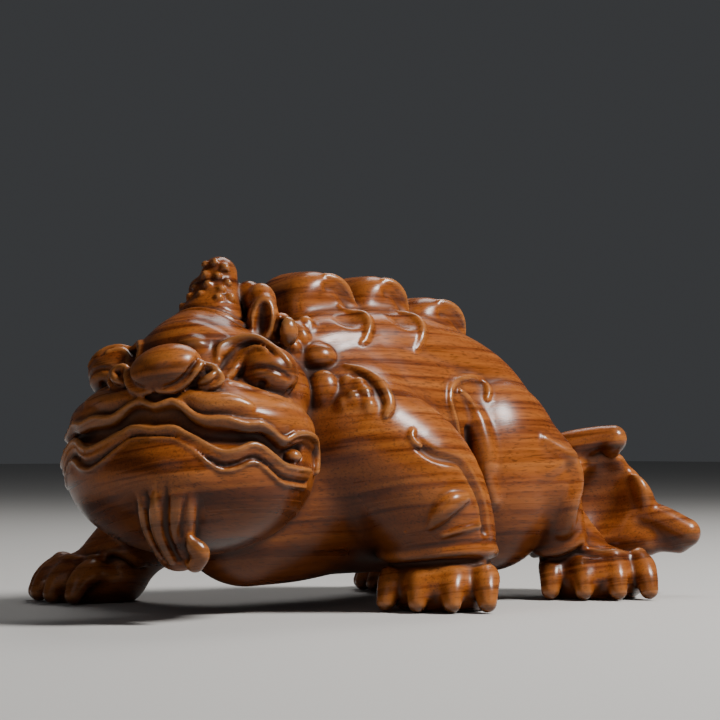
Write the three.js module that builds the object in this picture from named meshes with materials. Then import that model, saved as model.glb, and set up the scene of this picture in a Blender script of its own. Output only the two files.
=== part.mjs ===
// A prowling pixiu carved from one block of rosewood: a low, broad beast with a frog-like face,
// a chin beard, a crest of scales down its spine, four clawless paws and a curled flame tail.
// X runs to the beast's left, Y to its tail and Z up. The origin lies on the ground, under the middle.
import * as THREE from "three";

// The overall length from lips to tail, in millimetres.
const LENGTH = 160;

// The beast is laid out in parts, so many to its length, as a carver squares up a block.
const PARTS_LONG = 160;
const PART = LENGTH / PARTS_LONG;

// The wood, and how brightly it is polished.
const WOOD = { color: 0x8a4a1f, roughness: 0.36, metalness: 0 };

// How finely the block is worked before its faces are merged, in parts, and how many faces it keeps.
const CELL = 1;
const FACES = 9400;

// The room round the figure in which the block is worked, in parts.
const ROOM_LOW = [-62, -60, -1.5 * CELL];
const ROOM_HIGH = [50, 116, 80];

// The width of the trunk beside its height, and how far left of the middle line its crest stands.
const TRUNK_WIDTH = 0.86;
const CREST_X = 1;

// Half the thickness of the upright scales of the crest.
const SCALE_THICK = 8.6;

// The head is turned to the beast's left, and its far eye and ear sit a little closer in than the near ones.
const HEAD_AT = [13, -26, 37];
const HEAD_TURN = 32;
const MUZZLE_SHIFT = 1.5;
const FAR_EYE_SHARE = 0.95;

// The tail stands off the rump to the beast's left.
const TAIL_AT = [13.5, 89.1, 0];
const TAIL_TURN = 50;

// Where each paw stands, how far its toes turn out from straight ahead, and its size beside the far ones.
const PAWS = {
  nearFore: { at: [28.8, 26.6], turn: 40, size: 1.04 },
  farFore: { at: [-40.3, -13.9], turn: -8, size: 1 },
  nearHind: { at: [20.8, 79.2], turn: 52, size: 1.08 },
  farHind: { at: [-26, 66], turn: -35, size: 1 },
};

// The block of wood: a lattice that holds, at each of its nodes, the distance to the carved surface.

class Block {
  constructor(lo, hi, cell) {
    this.lo = lo;
    this.cell = cell;
    this.size = lo.map((l, i) => Math.ceil((hi[i] - l) / cell) + 1);
    this.step = [1, this.size[0], this.size[0] * this.size[1]];
    this.field = new Float32Array(this.size[0] * this.size[1] * this.size[2]).fill(1e3);
    this.ground = this.field;
  }

  // Keeps the surface as it is now, for strokes to be laid on.
  hold() {
    this.ground = this.field.slice();
  }

  // Calls work(value, distance) at each node that a form can reach, and keeps what it returns.
  each(form, reach, work) {
    const index = (v, i) => (v - this.lo[i]) / this.cell;
    const from = form.lo.map((v, i) => Math.max(0, Math.floor(index(v - reach, i))));
    const to = form.hi.map((v, i) => Math.min(this.size[i] - 1, Math.ceil(index(v + reach, i))));
    for (let k = from[2]; k <= to[2]; k++)
      for (let j = from[1]; j <= to[1]; j++)
        for (let i = from[0]; i <= to[0]; i++) {
          const n = i + j * this.step[1] + k * this.step[2];
          const x = this.lo[0] + i * this.cell;
          const y = this.lo[1] + j * this.cell;
          const z = this.lo[2] + k * this.cell;
          this.field[n] = work(this.field[n], form.distance(x, y, z));
        }
  }

  add(form, soft) {
    this.each(form, soft + 3 * this.cell, (a, b) => softMin(a, b, soft));
  }

  cut(form, soft) {
    this.each(form, soft + 3 * this.cell, (a, b) => -softMin(-a, b, soft));
  }

  merge(other, soft) {
    this.field.forEach((v, n) => (this.field[n] = softMin(v, other.field[n], soft)));
  }

  // Cuts everything under the ground away, so that the soles are flat.
  level() {
    this.field.forEach((v, n) => {
      const z = this.lo[2] + Math.floor(n / this.step[2]) * this.cell;
      this.field[n] = Math.max(v, -z);
    });
  }

  // The distance at any point to the surface that is held, from the eight nodes round it.
  at(p) {
    const q = p.map((v, i) => Math.min(Math.max((v - this.lo[i]) / this.cell, 0), this.size[i] - 1.001));
    const c = q.map(Math.floor);
    const t = q.map((v, i) => v - c[i]);
    let sum = 0;
    for (let corner = 0; corner < 8; corner++) {
      let weight = 1;
      let n = 0;
      for (let i = 0; i < 3; i++) {
        const far = (corner >> i) & 1;
        weight *= far ? t[i] : 1 - t[i];
        n += (c[i] + far) * this.step[i];
      }
      sum += weight * this.ground[n];
    }
    return sum;
  }

  slope(p) {
    return [0, 1, 2].map((i) => {
      const a = [...p];
      const b = [...p];
      a[i] -= this.cell;
      b[i] += this.cell;
      return (this.at(b) - this.at(a)) / (2 * this.cell);
    });
  }

  // Moves a point onto the surface along its slope, then under it by sink.
  settle(p, sink) {
    let q = [...p];
    for (let round = 0; round < 6; round++) {
      const g = this.slope(q);
      const steep = g[0] ** 2 + g[1] ** 2 + g[2] ** 2 || 1;
      const d = this.at(q) + (round > 1 ? sink : 0);
      q = q.map((v, i) => v - (d * g[i]) / steep);
    }
    return q;
  }
}

// The lesser of two distances, rounded off within soft of where they meet.
function softMin(a, b, soft) {
  const near = Math.max(soft - Math.abs(a - b), 0) / (soft || 1);
  return Math.min(a, b) - (near * near * soft) / 4;
}

// A frame of axes inside the beast: turned about Z, then tilted about its own X, then rolled about its own Y.
class Frame {
  constructor(origin, turn = 0, tilt = 0, roll = 0, parent = null) {
    const rad = Math.PI / 180;
    this.matrix = new THREE.Matrix4()
      .makeTranslation(...origin)
      .multiply(new THREE.Matrix4().makeRotationZ(turn * rad))
      .multiply(new THREE.Matrix4().makeRotationX(tilt * rad))
      .multiply(new THREE.Matrix4().makeRotationY(roll * rad));
    if (parent) this.matrix.premultiply(parent.matrix);
    this.back = this.matrix.clone().invert().elements;
  }

  out(p) {
    return new THREE.Vector3(...p).applyMatrix4(this.matrix).toArray();
  }
}

const WORLD = new Frame([0, 0, 0]);

// An egg: an ellipsoid with its own three half-widths.
function egg(frame, middle, half, turn = [0, 0, 0]) {
  const own = new Frame(middle, ...turn, frame);
  const m = own.back;
  const far = Math.max(...half);
  const centre = own.out([0, 0, 0]);
  return {
    lo: centre.map((v) => v - far),
    hi: centre.map((v) => v + far),
    distance(x, y, z) {
      const u = (m[0] * x + m[4] * y + m[8] * z + m[12]) / half[0];
      const v = (m[1] * x + m[5] * y + m[9] * z + m[13]) / half[1];
      const w = (m[2] * x + m[6] * y + m[10] * z + m[14]) / half[2];
      const k = Math.hypot(u, v, w);
      const g = Math.hypot(u / half[0], v / half[1], w / half[2]);
      return g < 1e-6 ? -Math.min(...half) : (k * (k - 1)) / g;
    },
  };
}

// A round plate with a full edge, turned about its own Z.
function plate(frame, middle, half, turn = [0, 0, 0]) {
  const own = new Frame(middle, ...turn, frame);
  const m = own.back;
  const far = Math.hypot(...half);
  const centre = own.out([0, 0, 0]);
  return {
    lo: centre.map((v) => v - far),
    hi: centre.map((v) => v + far),
    distance(x, y, z) {
      const u = (m[0] * x + m[4] * y + m[8] * z + m[12]) / half[0];
      const v = (m[1] * x + m[5] * y + m[9] * z + m[13]) / half[1];
      const w = (m[2] * x + m[6] * y + m[10] * z + m[14]) / half[2];
      const across = u * u + v * v;
      const k = Math.max((across * across + w ** 4) ** 0.25, 1e-3);
      const g = Math.hypot((across * u) / half[0], (across * v) / half[1], w ** 3 / half[2]) / k ** 3;
      return (k - 1) / Math.max(g, 1e-3);
    },
  };
}

// Points along a smooth curve through rows of [x, y, z, radius], so many to each span.
const SPAN = 6;

function through(rows) {
  const curve = (points) => new THREE.CatmullRomCurve3(points, false, "catmullrom");
  const place = curve(rows.map((r) => new THREE.Vector3(r[0], r[1], r[2])));
  const width = curve(rows.map((r) => new THREE.Vector3(r[3], 0, 0)));
  const count = (rows.length - 1) * SPAN;
  return Array.from({ length: count + 1 }, (_, i) => {
    const p = place.getPoint(i / count);
    return [p.x, p.y, p.z, width.getPoint(i / count).x];
  });
}

// A limb: a round bar of changing radius along a smooth curve, its section so wide across X for its height.
function limb(frame, rows, width = 1) {
  return bar(frame, through(rows.map(([x, y, z, r]) => [x / width, y, z, r])), width);
}

function bar(frame, points, width) {
  const m = frame.back;
  const lo = [1e9, 1e9, 1e9];
  const hi = [-1e9, -1e9, -1e9];
  for (const p of points) {
    const c = frame.out([p[0] * width, p[1], p[2]]);
    for (let i = 0; i < 3; i++) {
      lo[i] = Math.min(lo[i], c[i] - p[3]);
      hi[i] = Math.max(hi[i], c[i] + p[3]);
    }
  }
  return {
    lo,
    hi,
    distance(x, y, z) {
      const u = (m[0] * x + m[4] * y + m[8] * z + m[12]) / width;
      const v = m[1] * x + m[5] * y + m[9] * z + m[13];
      const w = m[2] * x + m[6] * y + m[10] * z + m[14];
      let best = 1e9;
      for (let i = 1; i < points.length; i++) {
        const a = points[i - 1];
        const b = points[i];
        const ax = b[0] - a[0];
        const ay = b[1] - a[1];
        const az = b[2] - a[2];
        const px = u - a[0];
        const py = v - a[1];
        const pz = w - a[2];
        const along = (px * ax + py * ay + pz * az) / (ax * ax + ay * ay + az * az || 1);
        const t = Math.min(Math.max(along, 0), 1);
        const d = Math.hypot(px - t * ax, py - t * ay, pz - t * az) - (a[3] + t * (b[3] - a[3]));
        if (d < best) best = d;
      }
      return best * width;
    },
  };
}

// A stroke: a fine bar laid on the held surface, sunk in it by a share of its radius.
function stroke(block, frame, rows, sink) {
  const points = through(rows).map(([x, y, z, r]) => [...block.settle(frame.out([x, y, z]), sink * r), r]);
  return bar(WORLD, points, 1);
}

// A pit: a small round hollow sunk in the carved surface by a share of its radius.
function pit(block, frame, p, r, deep = 0.1) {
  block.cut(egg(WORLD, block.settle(frame.out(p), deep * r), [r, r, r]), 0.4);
}

// Rows of a form on one side of the face or body: side is 1 for the left and -1 for the right.
const sided = (rows, side) => rows.map(([x, ...rest]) => [x * side, ...rest]);
const SIDES = [-1, 1];
const EYE_SIDES = [-FAR_EYE_SHARE, 1];

const HEAD = new Frame(HEAD_AT, HEAD_TURN);
const FACE = new Frame([MUZZLE_SHIFT, 0, 0], 0, 0, 0, HEAD);

// The trunk: a barrel from chest to rump, a little narrower than high, low over the ground.
function trunk(block) {
  const barrel = [
    [8, -9, 21, 15.8],
    [6, 2, 28, 22.5],
    [3, 14, 34.5, 28],
    [0, 31, 35, 28.5],
    [0, 46, 32, 25],
    [1, 59, 28, 18],
  ];
  block.add(limb(WORLD, barrel, TRUNK_WIDTH), 0);
}

// The crest: a saddle laid over the back on each side of the spine, three upright round scales on it,
// each with a raised rim that runs over its rear edge, and flat scales hemmed in the same way on the sides.
function crest(block) {
  const saddle = [
    [10, -3, 50, 7.5],
    [10, 10, 53.5, 8.2],
    [10, 28, 54, 8.6],
    [9.5, 42, 51.5, 8.5],
    [9, 54, 46.5, 8.5],
    [8, 64, 39, 8],
  ];
  for (const side of SIDES) {
    block.add(limb(WORLD, sided(saddle, side).map(([x, ...rest]) => [CREST_X + x, ...rest])), 0.8);
  }
  const scales = [
    { y: 11.2, z: 62.2, long: 9, tall: 8.9 },
    { y: 27.6, z: 62.2, long: 7.8, tall: 8.6 },
    { y: 43.6, z: 58.2, long: 9, tall: 8.6 },
  ];
  for (const { y, z, long, tall } of scales) {
    block.add(plate(WORLD, [CREST_X, y, z], [tall, long, SCALE_THICK], [0, 0, 90]), 1);
  }
  block.hold();
  const hems = [
    { y: 15.6, z: 62.4, back: 1.4 },
    { y: 30, z: 62, back: 1.2 },
    { y: 44.5, z: 58, back: 0.5 },
  ];
  for (const side of SIDES) {
    for (const { y, z, long, tall } of scales) {
      const rim = Array.from({ length: 9 }, (_, i) => {
        const turn = (1 - i / 8) * 1.7;
        return [8 * side, y + (long - 2) * Math.cos(turn), z + (tall - 2) * Math.sin(turn), 1.3];
      });
      block.add(stroke(block, WORLD, rim, 0.1), 1);
    }
    for (const { y, z, back } of hems) {
      const hem = [
        [11, y - 0.5, z + 3, 1],
        [14, y + 0.2, z + 0.6, 1.3],
        [15, y + back, z - 3, 1.5],
        [16, y, z - 6, 1.5],
        [17, y - 4, z - 8, 1.2],
        [17, y - 8, z - 8.6, 0.8],
      ];
      block.add(stroke(block, WORLD, sided(hem, side), 0.4), 1);
      const hollow = block.settle([14 * side, y - 3.4, z - 3.5], -2);
      block.cut(egg(WORLD, hollow, [3, 3.6, 3.6]), 2);
    }
  }
}

// The four legs, each a tapering limb from the trunk down to its paw, and the two haunches.
function legs(block) {
  const { nearFore, farFore, nearHind, farHind } = PAWS;
  const down = ({ at }, dx, dy, z, r) => [at[0] + dx, at[1] + dy, z, r];
  const nearArm = [
    [20, 10, 36, 14],
    [25, 20, 27, 14.5],
    down(nearFore, -1.3, -0.6, 15, 12.5),
    down(nearFore, -0.3, 0.4, 7, 10.5),
  ];
  const farArm = [
    [-10, 0, 30, 15],
    [-23, -5, 21, 11],
    down(farFore, 8.3, 5.9, 14, 8.5),
    down(farFore, 3.3, 2.9, 8, 8),
  ];
  const nearShank = [
    [18, 62, 28, 11],
    [19.8, 67, 19, 7],
    down(nearHind, -2.3, -7, 11, 6),
    down(nearHind, -0.8, -2, 7, 6.4),
  ];
  const nearHeel = [
    [7, 68, 22, 10],
    down(nearHind, -7, 0, 13, 7),
    down(nearHind, -5.5, 3.5, 7, 5),
  ];
  const farShank = [
    [-18, 58, 24, 12],
    down(farHind, 4, -1, 14, 9),
    down(farHind, 2, 0, 7, 8),
  ];
  for (const side of SIDES) block.add(egg(WORLD, [14 * side, 53, 28], [14, 19, 21.5]), 2);
  block.add(limb(WORLD, nearArm), 3);
  block.add(limb(WORLD, farArm), 4);
  block.add(limb(WORLD, nearShank), 2);
  block.add(limb(WORLD, nearHeel), 2);
  block.add(limb(WORLD, farShank), 3);
  for (const name of Object.keys(PAWS)) paw(block, PAWS[name]);
}

// A paw: a low palm with four bent toes parted by gaps and a roll of skin at the wrist, flat under the sole.
function paw(block, { at, turn, size }) {
  const frame = new Frame([at[0], at[1], 0], turn);
  const sized = (rows) => rows.map((row) => row.map((v) => v * size));
  const lump = (middle, half) => egg(frame, ...sized([middle, half]));
  block.add(lump([0, -0.5, 4.4], [11, 11.6, 6.6]), 2);
  for (const [x, y] of [[-9.4, 2.6], [-3.3, 0.2], [3.2, 0], [9.4, 2]]) {
    const toe = [
      [x * 0.75, y - 2.5, 5.4, 3.3],
      [x * 0.95, y - 7.5, 5.2, 3.1],
      [x * 1.04, y - 11, 3.3, 3.1],
    ];
    block.add(limb(frame, sized(toe)), 1);
    block.add(lump([x * 0.88, y - 6, 7], [1.9, 2.4, 2]), 1);
  }
  for (const [x, y] of [[-6.6, -12.2], [0, -13.6], [6.5, -12.4]]) {
    block.cut(lump([x, y, 0], [1, 3.4, 4.4]), 1);
  }
  block.hold();
  const roll = (z, r) => Array.from({ length: 9 }, (_, i) => {
    const bend = (i / 4 - 1) * 1.9;
    return [11.5 * Math.sin(bend), 2 - 11 * Math.cos(bend), z + 0.5 * Math.cos(bend), r];
  });
  block.cut(stroke(block, frame, sized(roll(9.3, 1)), -0.2), 0.8);
  block.add(stroke(block, frame, sized(roll(11.4, 1.1)), 0.3), 1.5);
}

// The tail: a flame that sweeps to the beast's left, cupped on its outer face, with three curled tips.
function tail(block) {
  const frame = new Frame(TAIL_AT, TAIL_TURN);
  block.add(limb(frame, [[-18, 3, 26, 9], [-9, 2.5, 26, 8.5], [-3, 3.5, 23, 8], [3, 3.5, 18, 6.5]]), 3);
  block.add(egg(frame, [1, 2.8, 20], [10.5, 5, 11], [0, 0, 18]), 2);
  const upperTip = [
    [-12, 1, 31.5, 4.5],
    [-6, -0.5, 33.8, 3.8],
    [-1, -1.6, 35.4, 3],
    [2.7, -2, 35.6, 3.1],
  ];
  block.add(limb(frame, upperTip), 1.5);
  block.add(limb(frame, [[-8, 3, 30, 5], [-1, 2.8, 31, 3.6], [3, 1.8, 29.5, 3]]), 1.5);
  const rim = [
    [2.7, -2.2, 34.5, 2.2],
    [3.2, -1.8, 32, 1.7],
    [5, -1, 29, 1.7],
    [8, -0.3, 26, 1.8],
    [10, 0.2, 23.4, 1.9],
    [11, 0.6, 20, 2.2],
  ];
  block.add(limb(frame, rim), 1);
  block.add(limb(frame, [[5, 2, 17, 4], [12, 1.5, 15.8, 4.2], [18.6, 0, 13, 4.3]]), 1.5);
  block.add(limb(frame, [[-6, 3, 14, 5], [2, 2, 12.5, 4], [10, 1, 12, 3.6]]), 2);
  block.cut(egg(frame, [0.4, -4.6, 23.4], [7, 6.4, 9.2], [0, 0, 25]), 1.5);
}

// The head: skull, broad frog-like jaw, muzzle, a forehead that rises in a cone, eyeballs and a round nose.
function head(block) {
  block.add(egg(HEAD, [0, 9, 7], [20.5, 21, 13]), 0);
  block.add(egg(HEAD, [0, -1.5, -7.5], [24.8, 24.5, 17.3]), 3);
  block.add(egg(HEAD, [0.5, -2, 0.5], [24.6, 21.6, 9.5], [0, -7, 0]), 3);
  block.add(egg(HEAD, [1, -10, 6], [13, 11, 6.5]), 3);
  block.add(limb(HEAD, [[0, 0, 12.5, 11], [0, 7, 16.5, 8.5], [0.3, 10.5, 22, 5.5]]), 4);
  for (const side of EYE_SIDES) block.add(egg(HEAD, [16.2 * side, -1, 11.2], [6.2, 6, 5.4]), 1);
  block.add(egg(FACE, [0.3, -18.8, 11.2], [7.6, 6.6, 5.2], [0, 0, -18]), 0.5);
  for (const side of SIDES) block.add(egg(FACE, [9 * side, -17.6, 9.8], [2.8, 3.4, 3]), 0.6);
}

// The top-knot: a short upright tuft with small round curls about it.
function topKnot(block) {
  const tuft = [
    [0.5, 12, 18, 5.5],
    [0.4, 12, 24, 4.8],
    [0.3, 12, 29.2, 4.2],
    [0.2, 12.3, 32.6, 2.9],
  ];
  block.add(limb(HEAD, tuft), 1);
  const knobs = [
    [-3.6, 10.6, 30, 2.3],
    [3.6, 11.4, 31.4, 2],
    [-4.4, 10.4, 25.4, 2.4],
    [1, 9.4, 25, 2.6],
    [9.4, 13, 26, 3.2],
    [6, 15, 26.4, 3.2],
    [16, 10, 20, 2.4],
    [-1, 17, 27, 3],
  ];
  for (const [x, y, z, r] of knobs) block.add(egg(HEAD, [x, y, z], [r, r, r * 1.15]), 0.6);
}

// The ears, each a cup with a second fold behind it: the left one stands up and the right one is laid back.
function ears(block) {
  for (const side of SIDES) {
    const place = side > 0 ? [11, 9.5, 22] : [-16.5, 13, 11.5];
    const ear = new Frame(place, 18 * side, -8, 6 * side, HEAD);
    block.add(egg(ear, [0, 0.5, 0], [3.3, 3.2, 6]), 0.8);
    block.cut(egg(ear, [0, -3, 0.2], [1.9, 2.6, 4.4]), 0.5);
    block.add(egg(ear, [3.8, 2.4, -1.4], [2.6, 2.8, 4.2]), 0.6);
    block.cut(egg(ear, [3.9, -0.6, -1.2], [1.4, 2, 2.8]), 0.4);
  }
}

// The lids: a rolled brow over each eyeball with a groove under it, an inner lid, a bag and a drilled pupil.
function eyes(block) {
  const brow = [
    [8.4, -8.8, 13.4, 0.7],
    [8.6, -7.6, 15.4, 1],
    [9.8, -5.6, 17, 1.3],
    [11.8, -4, 17.8, 1.4],
    [14.4, -3.4, 17.8, 1.4],
    [17, -3.6, 16.6, 1.1],
    [20.6, -3.6, 13, 0.6],
  ];
  const groove = [
    [9.4, -9, 12.6, 0.6],
    [10.2, -7.4, 14.6, 0.8],
    [12, -6, 15.9, 0.9],
    [14.6, -5.6, 16, 0.9],
    [18.8, -5.6, 13.2, 0.6],
  ];
  const lid = [
    [11.4, -12.2, 9.6, 0.8],
    [11.2, -9, 11.2, 1],
    [11.4, -7, 12.8, 1],
    [13.6, -5.6, 15.2, 0.8],
  ];
  const bag = [
    [12.4, -13.2, 9.3, 0.8],
    [15.4, -9.4, 7.8, 1],
    [19, -7, 6.4, 0.9],
    [22.2, 0, 6.6, 0.7],
  ];
  for (const side of EYE_SIDES) {
    block.cut(stroke(block, HEAD, sided(groove, side), 0.1), 0.4);
    block.add(stroke(block, HEAD, sided(brow, side), 0), 0.5);
    block.add(stroke(block, HEAD, sided(lid, side), 0), 0.5);
    block.add(stroke(block, HEAD, sided(bag, side), 0.3), 0.5);
    pit(block, HEAD, [17.2 * side, -6.4, 9.6], 1.5);
  }
}

// The nose: a groove between its bulb and the forehead, folded wings, and a soft roll out over each cheek.
function nose(block) {
  const bridge = [[-2, -17, 15.8, 0.7], [2, -17, 16.2, 0.8], [5, -17.4, 15.8, 0.8], [9, -14.6, 13.8, 0.7]];
  const wing = [
    [0.7, -23.6, 7.6, 0.8],
    [4.1, -22.8, 8.6, 1],
    [6.6, -21.6, 10.7, 1],
    [7.9, -19.8, 12.8, 1],
    [10.4, -18.5, 12.5, 1],
    [11.8, -18.2, 10.2, 1],
    [10.4, -19.9, 8.3, 0.9],
  ];
  const roll = [
    [5, -22.6, 5.2, 1.2],
    [7, -22, 5.5, 1.6],
    [9.6, -20.6, 5.4, 1.7],
    [12.4, -18.8, 5.4, 1.7],
    [15, -17, 4.8, 1.5],
    [17.6, -15, 3.8, 1.1],
  ];
  for (const side of SIDES) {
    block.cut(stroke(block, FACE, sided(bridge, side), 0), 0.4);
    block.add(stroke(block, FACE, sided(wing, side), 0), 0.4);
    block.add(stroke(block, FACE, sided(roll, side), 0.4), 0.4);
  }
}

// The mouth: two wavy lips that droop to the corners, each a soft band with a raised upper edge, parted by
// a narrow hollow, with a groove under the lower lip.
function mouth(block) {
  const upper = [
    [0, -24, 3.7, 0.9],
    [3.3, -23.2, 4.5, 1],
    [5.3, -23, 3.6, 1.1],
    [7.2, -22.8, 1.9, 1.2],
    [9.4, -22, 1.2, 1.3],
    [13.4, -19.9, 0.9, 1.3],
    [16.5, -17.3, 0, 1.3],
    [18.4, -15.2, 0.1, 1.3],
    [19.9, -12.9, -1.3, 1.2],
    [21.1, -10.6, -2.7, 1.2],
    [22.5, -7.2, -2.3, 1.2],
    [24, 0, -3, 1.1],
    [24.2, 3.6, -5, 1],
    [23.6, 2.6, -8, 0.9],
  ];
  const parting = [
    [0, -24.2, 2, 1.5],
    [3.5, -23.5, 2.2, 1.7],
    [7.3, -22.8, -0.1, 1.4],
    [9.4, -22, -0.9, 1.4],
    [11.5, -21, -1.4, 1.5],
    [15.3, -18.2, -1.7, 1.5],
    [18.5, -14.9, -1.9, 1.2],
    [20.6, -11.8, -4.2, 1.2],
    [22.8, -6, -4.6, 1.7],
  ];
  const lower = [
    [0, -24.6, 0.3, 0.8],
    [4, -23.8, 0.5, 0.8],
    [6.1, -23.5, -0.5, 0.8],
    [9.9, -22.6, -2.8, 0.8],
    [13.3, -20.8, -4.2, 0.8],
    [15.2, -19.2, -3.8, 0.8],
    [17, -17, -2.8, 0.8],
    [18.5, -15.4, -3.2, 0.8],
    [20, -13.4, -4.9, 0.8],
    [21.6, -10.9, -6.7, 0.8],
    [22.8, -6.4, -7.4, 0.8],
    [23.4, -2, -7.8, 0.8],
  ];
  // The same line moved up or down, by rise in the middle of the mouth and by ends at its sides.
  const moved = (rows, rise, ends, r) =>
    rows.map(([x, y, z]) => [x, y - 0.3, z + rise + (ends - rise) * Math.min(x / 9, 1), r]);
  for (const side of SIDES) {
    block.cut(stroke(block, FACE, sided(parting, side), 0), 0.4);
    block.cut(stroke(block, FACE, sided(moved(lower, -2.1, -3.1, 0.9), side), 0), 0.4);
    block.add(stroke(block, FACE, sided(upper, side), 0.2), 0.4);
    block.add(stroke(block, FACE, sided(moved(upper, 1, 1.2, 0.8), side), -0.6), 0.4);
    block.add(stroke(block, FACE, sided(moved(lower, -0.7, -1.3, 1.2), side), 0.1), 0.4);
    block.add(stroke(block, FACE, sided(lower, side), -0.8), 0.4);
    pit(block, FACE, [22.6 * side, -5.6, -4.6], 1.8, 0.2);
  }
}

// The beard: one flat tongue of hair that hangs from the chin, parted by cuts, with a lock hooked out at
// its tip.
function beard(block) {
  const tongue = [
    [4.6, -21.6, -10, 4],
    [4.2, -21.6, -15, 4.2],
    [4.4, -18.8, -20, 4],
    [5.4, -16.4, -24, 3.4],
  ];
  const hook = [
    [8, -22, -17, 1.8],
    [10, -20.8, -20.6, 2],
    [11.4, -19.6, -22.4, 2],
    [10, -18.6, -24.6, 1.8],
  ];
  block.add(limb(HEAD, tongue, 1.25), 1);
  block.add(limb(HEAD, hook), 0.6);
  block.hold();
  const cuts = [
    [[2, -27, -11, 0.7], [1.8, -27, -15, 1], [2, -24.6, -20.5, 1.1], [3.4, -21, -25.6, 0.8]],
    [[4.8, -26.6, -9, 0.7], [4.9, -26.6, -14, 0.8], [4.7, -24, -20.5, 0.8], [5.6, -20.4, -25.4, 0.7]],
    [[7.6, -25.4, -11, 0.7], [7.4, -25.4, -15, 0.8], [7.4, -23, -20.5, 0.8], [9.2, -21, -23.4, 0.7]],
  ];
  const lock = [[3.5, -26.4, -8.6, 0.8], [3.4, -26.4, -14, 1], [3.4, -24, -20.5, 1], [4.6, -20.4, -25.4, 0.9]];
  for (const rows of cuts) block.cut(stroke(block, HEAD, rows, 0), 0.4);
  block.add(stroke(block, HEAD, lock, 0.2), 0.4);
}

// The mane: round curls behind the cheeks and over the nape. The turned head bunches them on the left,
// where a curved hem closes them over the shoulder.
function mane(block) {
  const curls = [
    [19.4, 20.5, 15.2, 3.4, 0.75],
    [21.6, 16.2, 8.2, 3.4, 1.3],
    [13.6, 21, 19, 3, 1],
    [8, 22, 20, 3.4, 1],
    [2, 22, 20, 3.6, 1],
  ];
  for (const [x, y, z, r, tall] of [...sided(curls, -1), ...curls]) {
    const middle = block.settle(HEAD.out([x, y, z]), 0.35 * r);
    block.add(egg(WORLD, middle, [r, r, r * tall]), 0.5);
  }
  const bunched = [
    [26.2, 3.6, 47, 2],
    [29.4, 4.6, 45.2, 2],
    [28.6, 1.6, 43.4, 1.9],
    [31.4, 4, 41.8, 1.8],
  ];
  for (const [x, y, z, r] of bunched) {
    const middle = block.settle([x, y, z], 0.5 * r);
    block.add(egg(WORLD, middle, [r, r, r]), 0.8);
  }
  const hem = [
    [21.8, 5.4, 50.2, 1.3],
    [22.9, 6.5, 50, 1.9],
    [24.9, 7.8, 49.1, 2],
    [28, 8.7, 47.4, 2],
    [30.7, 9, 45, 2],
    [32.2, 9.1, 42.7, 1.9],
    [32.8, 7.6, 40, 1.5],
  ];
  block.add(stroke(block, WORLD, hem, -0.1), 0.5);
}

// The marks: raised curls on the shoulder, the elbow and the flank, ridges down the thigh and the hip, and
// the deep creases where the shoulder laps over the belly and the thigh meets it.
function marks(block) {
  const lap = [
    [36.8, 12.6, 34.2, 1],
    [38.2, 16, 32, 1.1],
    [38.8, 22.2, 30.7, 1.1],
    [39.2, 24.7, 28.1, 1.2],
    [39.2, 28.4, 22, 1.2],
    [39.6, 29.3, 16.7, 1.2],
  ];
  const crease = [[24.4, 38.6, 37.4, 1.1], [25.4, 39, 32, 1.3], [25.8, 39.5, 26, 1.3], [25, 41, 20, 1.2]];
  const elbow = [
    [37.3, 15.5, 17.4, 0.8],
    [38.4, 16.8, 20, 1.8],
    [39.5, 19.2, 22.2, 1.8],
    [40.1, 22.7, 22.8, 0.8],
  ];
  const curl = [
    [25.4, 35.5, 33.5, 0.9],
    [24.2, 34.9, 38, 1.1],
    [23.8, 33.1, 42.6, 1.1],
    [22.1, 35.2, 46.7, 1.1],
    [20.9, 38.4, 48.4, 1.1],
    [21.5, 43.9, 47.7, 1.1],
    [22, 45.8, 43.9, 1.1],
    [22.4, 44.2, 42.6, 0.9],
  ];
  const thigh = [
    [22.5, 41.2, 41.7, 1.2],
    [23.2, 41.7, 39.5, 1.7],
    [24.4, 41.8, 35.2, 1.9],
    [25.2, 41.9, 31, 1.9],
    [25.4, 42, 27.6, 1.8],
    [25.6, 43.5, 22.4, 1.4],
  ];
  const hip = [
    [26.8, 58.2, 35.3, 1.2],
    [27.9, 63.2, 32.6, 1.8],
    [27.6, 66, 30.4, 2.2],
    [27.8, 67.4, 26, 1.6],
    [28.4, 65.7, 21.5, 1.4],
    [26.6, 65.6, 15, 1],
  ];
  for (const side of SIDES) {
    block.cut(stroke(block, WORLD, sided(lap, side), -0.1), 0.8);
    block.cut(stroke(block, WORLD, sided(crease, side), -0.1), 0.8);
  }
  block.add(stroke(block, WORLD, elbow, 0.3), 0.6);
  block.add(stroke(block, WORLD, curl, 0), 0.5);
  block.add(stroke(block, WORLD, thigh, 0.1), 2);
  block.add(stroke(block, WORLD, hip, 0.3), 1.5);
}

// The whole figure: the body first, then the head joined to it with a crisp crease at the neck. The forms
// of each are held before fine strokes are laid on them.
function carve() {
  const block = new Block(ROOM_LOW, ROOM_HIGH, CELL);
  trunk(block);
  legs(block);
  tail(block);
  block.hold();
  marks(block);
  crest(block);

  const skull = new Block(ROOM_LOW, ROOM_HIGH, CELL);
  head(skull);
  skull.hold();
  eyes(skull);
  nose(skull);
  mouth(skull);
  topKnot(skull);
  ears(skull);
  beard(skull);

  block.merge(skull, 1);
  block.hold();
  mane(block);
  block.level();
  return block;
}

// The six tetrahedra that fill one cell of the lattice, by the corners 0 to 7 of that cell.
const TETRAHEDRA = [
  [0, 1, 3, 7],
  [0, 3, 2, 7],
  [0, 2, 6, 7],
  [0, 6, 4, 7],
  [0, 4, 5, 7],
  [0, 5, 1, 7],
];

const cornerAt = (c) => new THREE.Vector3(c & 1, (c >> 1) & 1, c >> 2);

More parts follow.
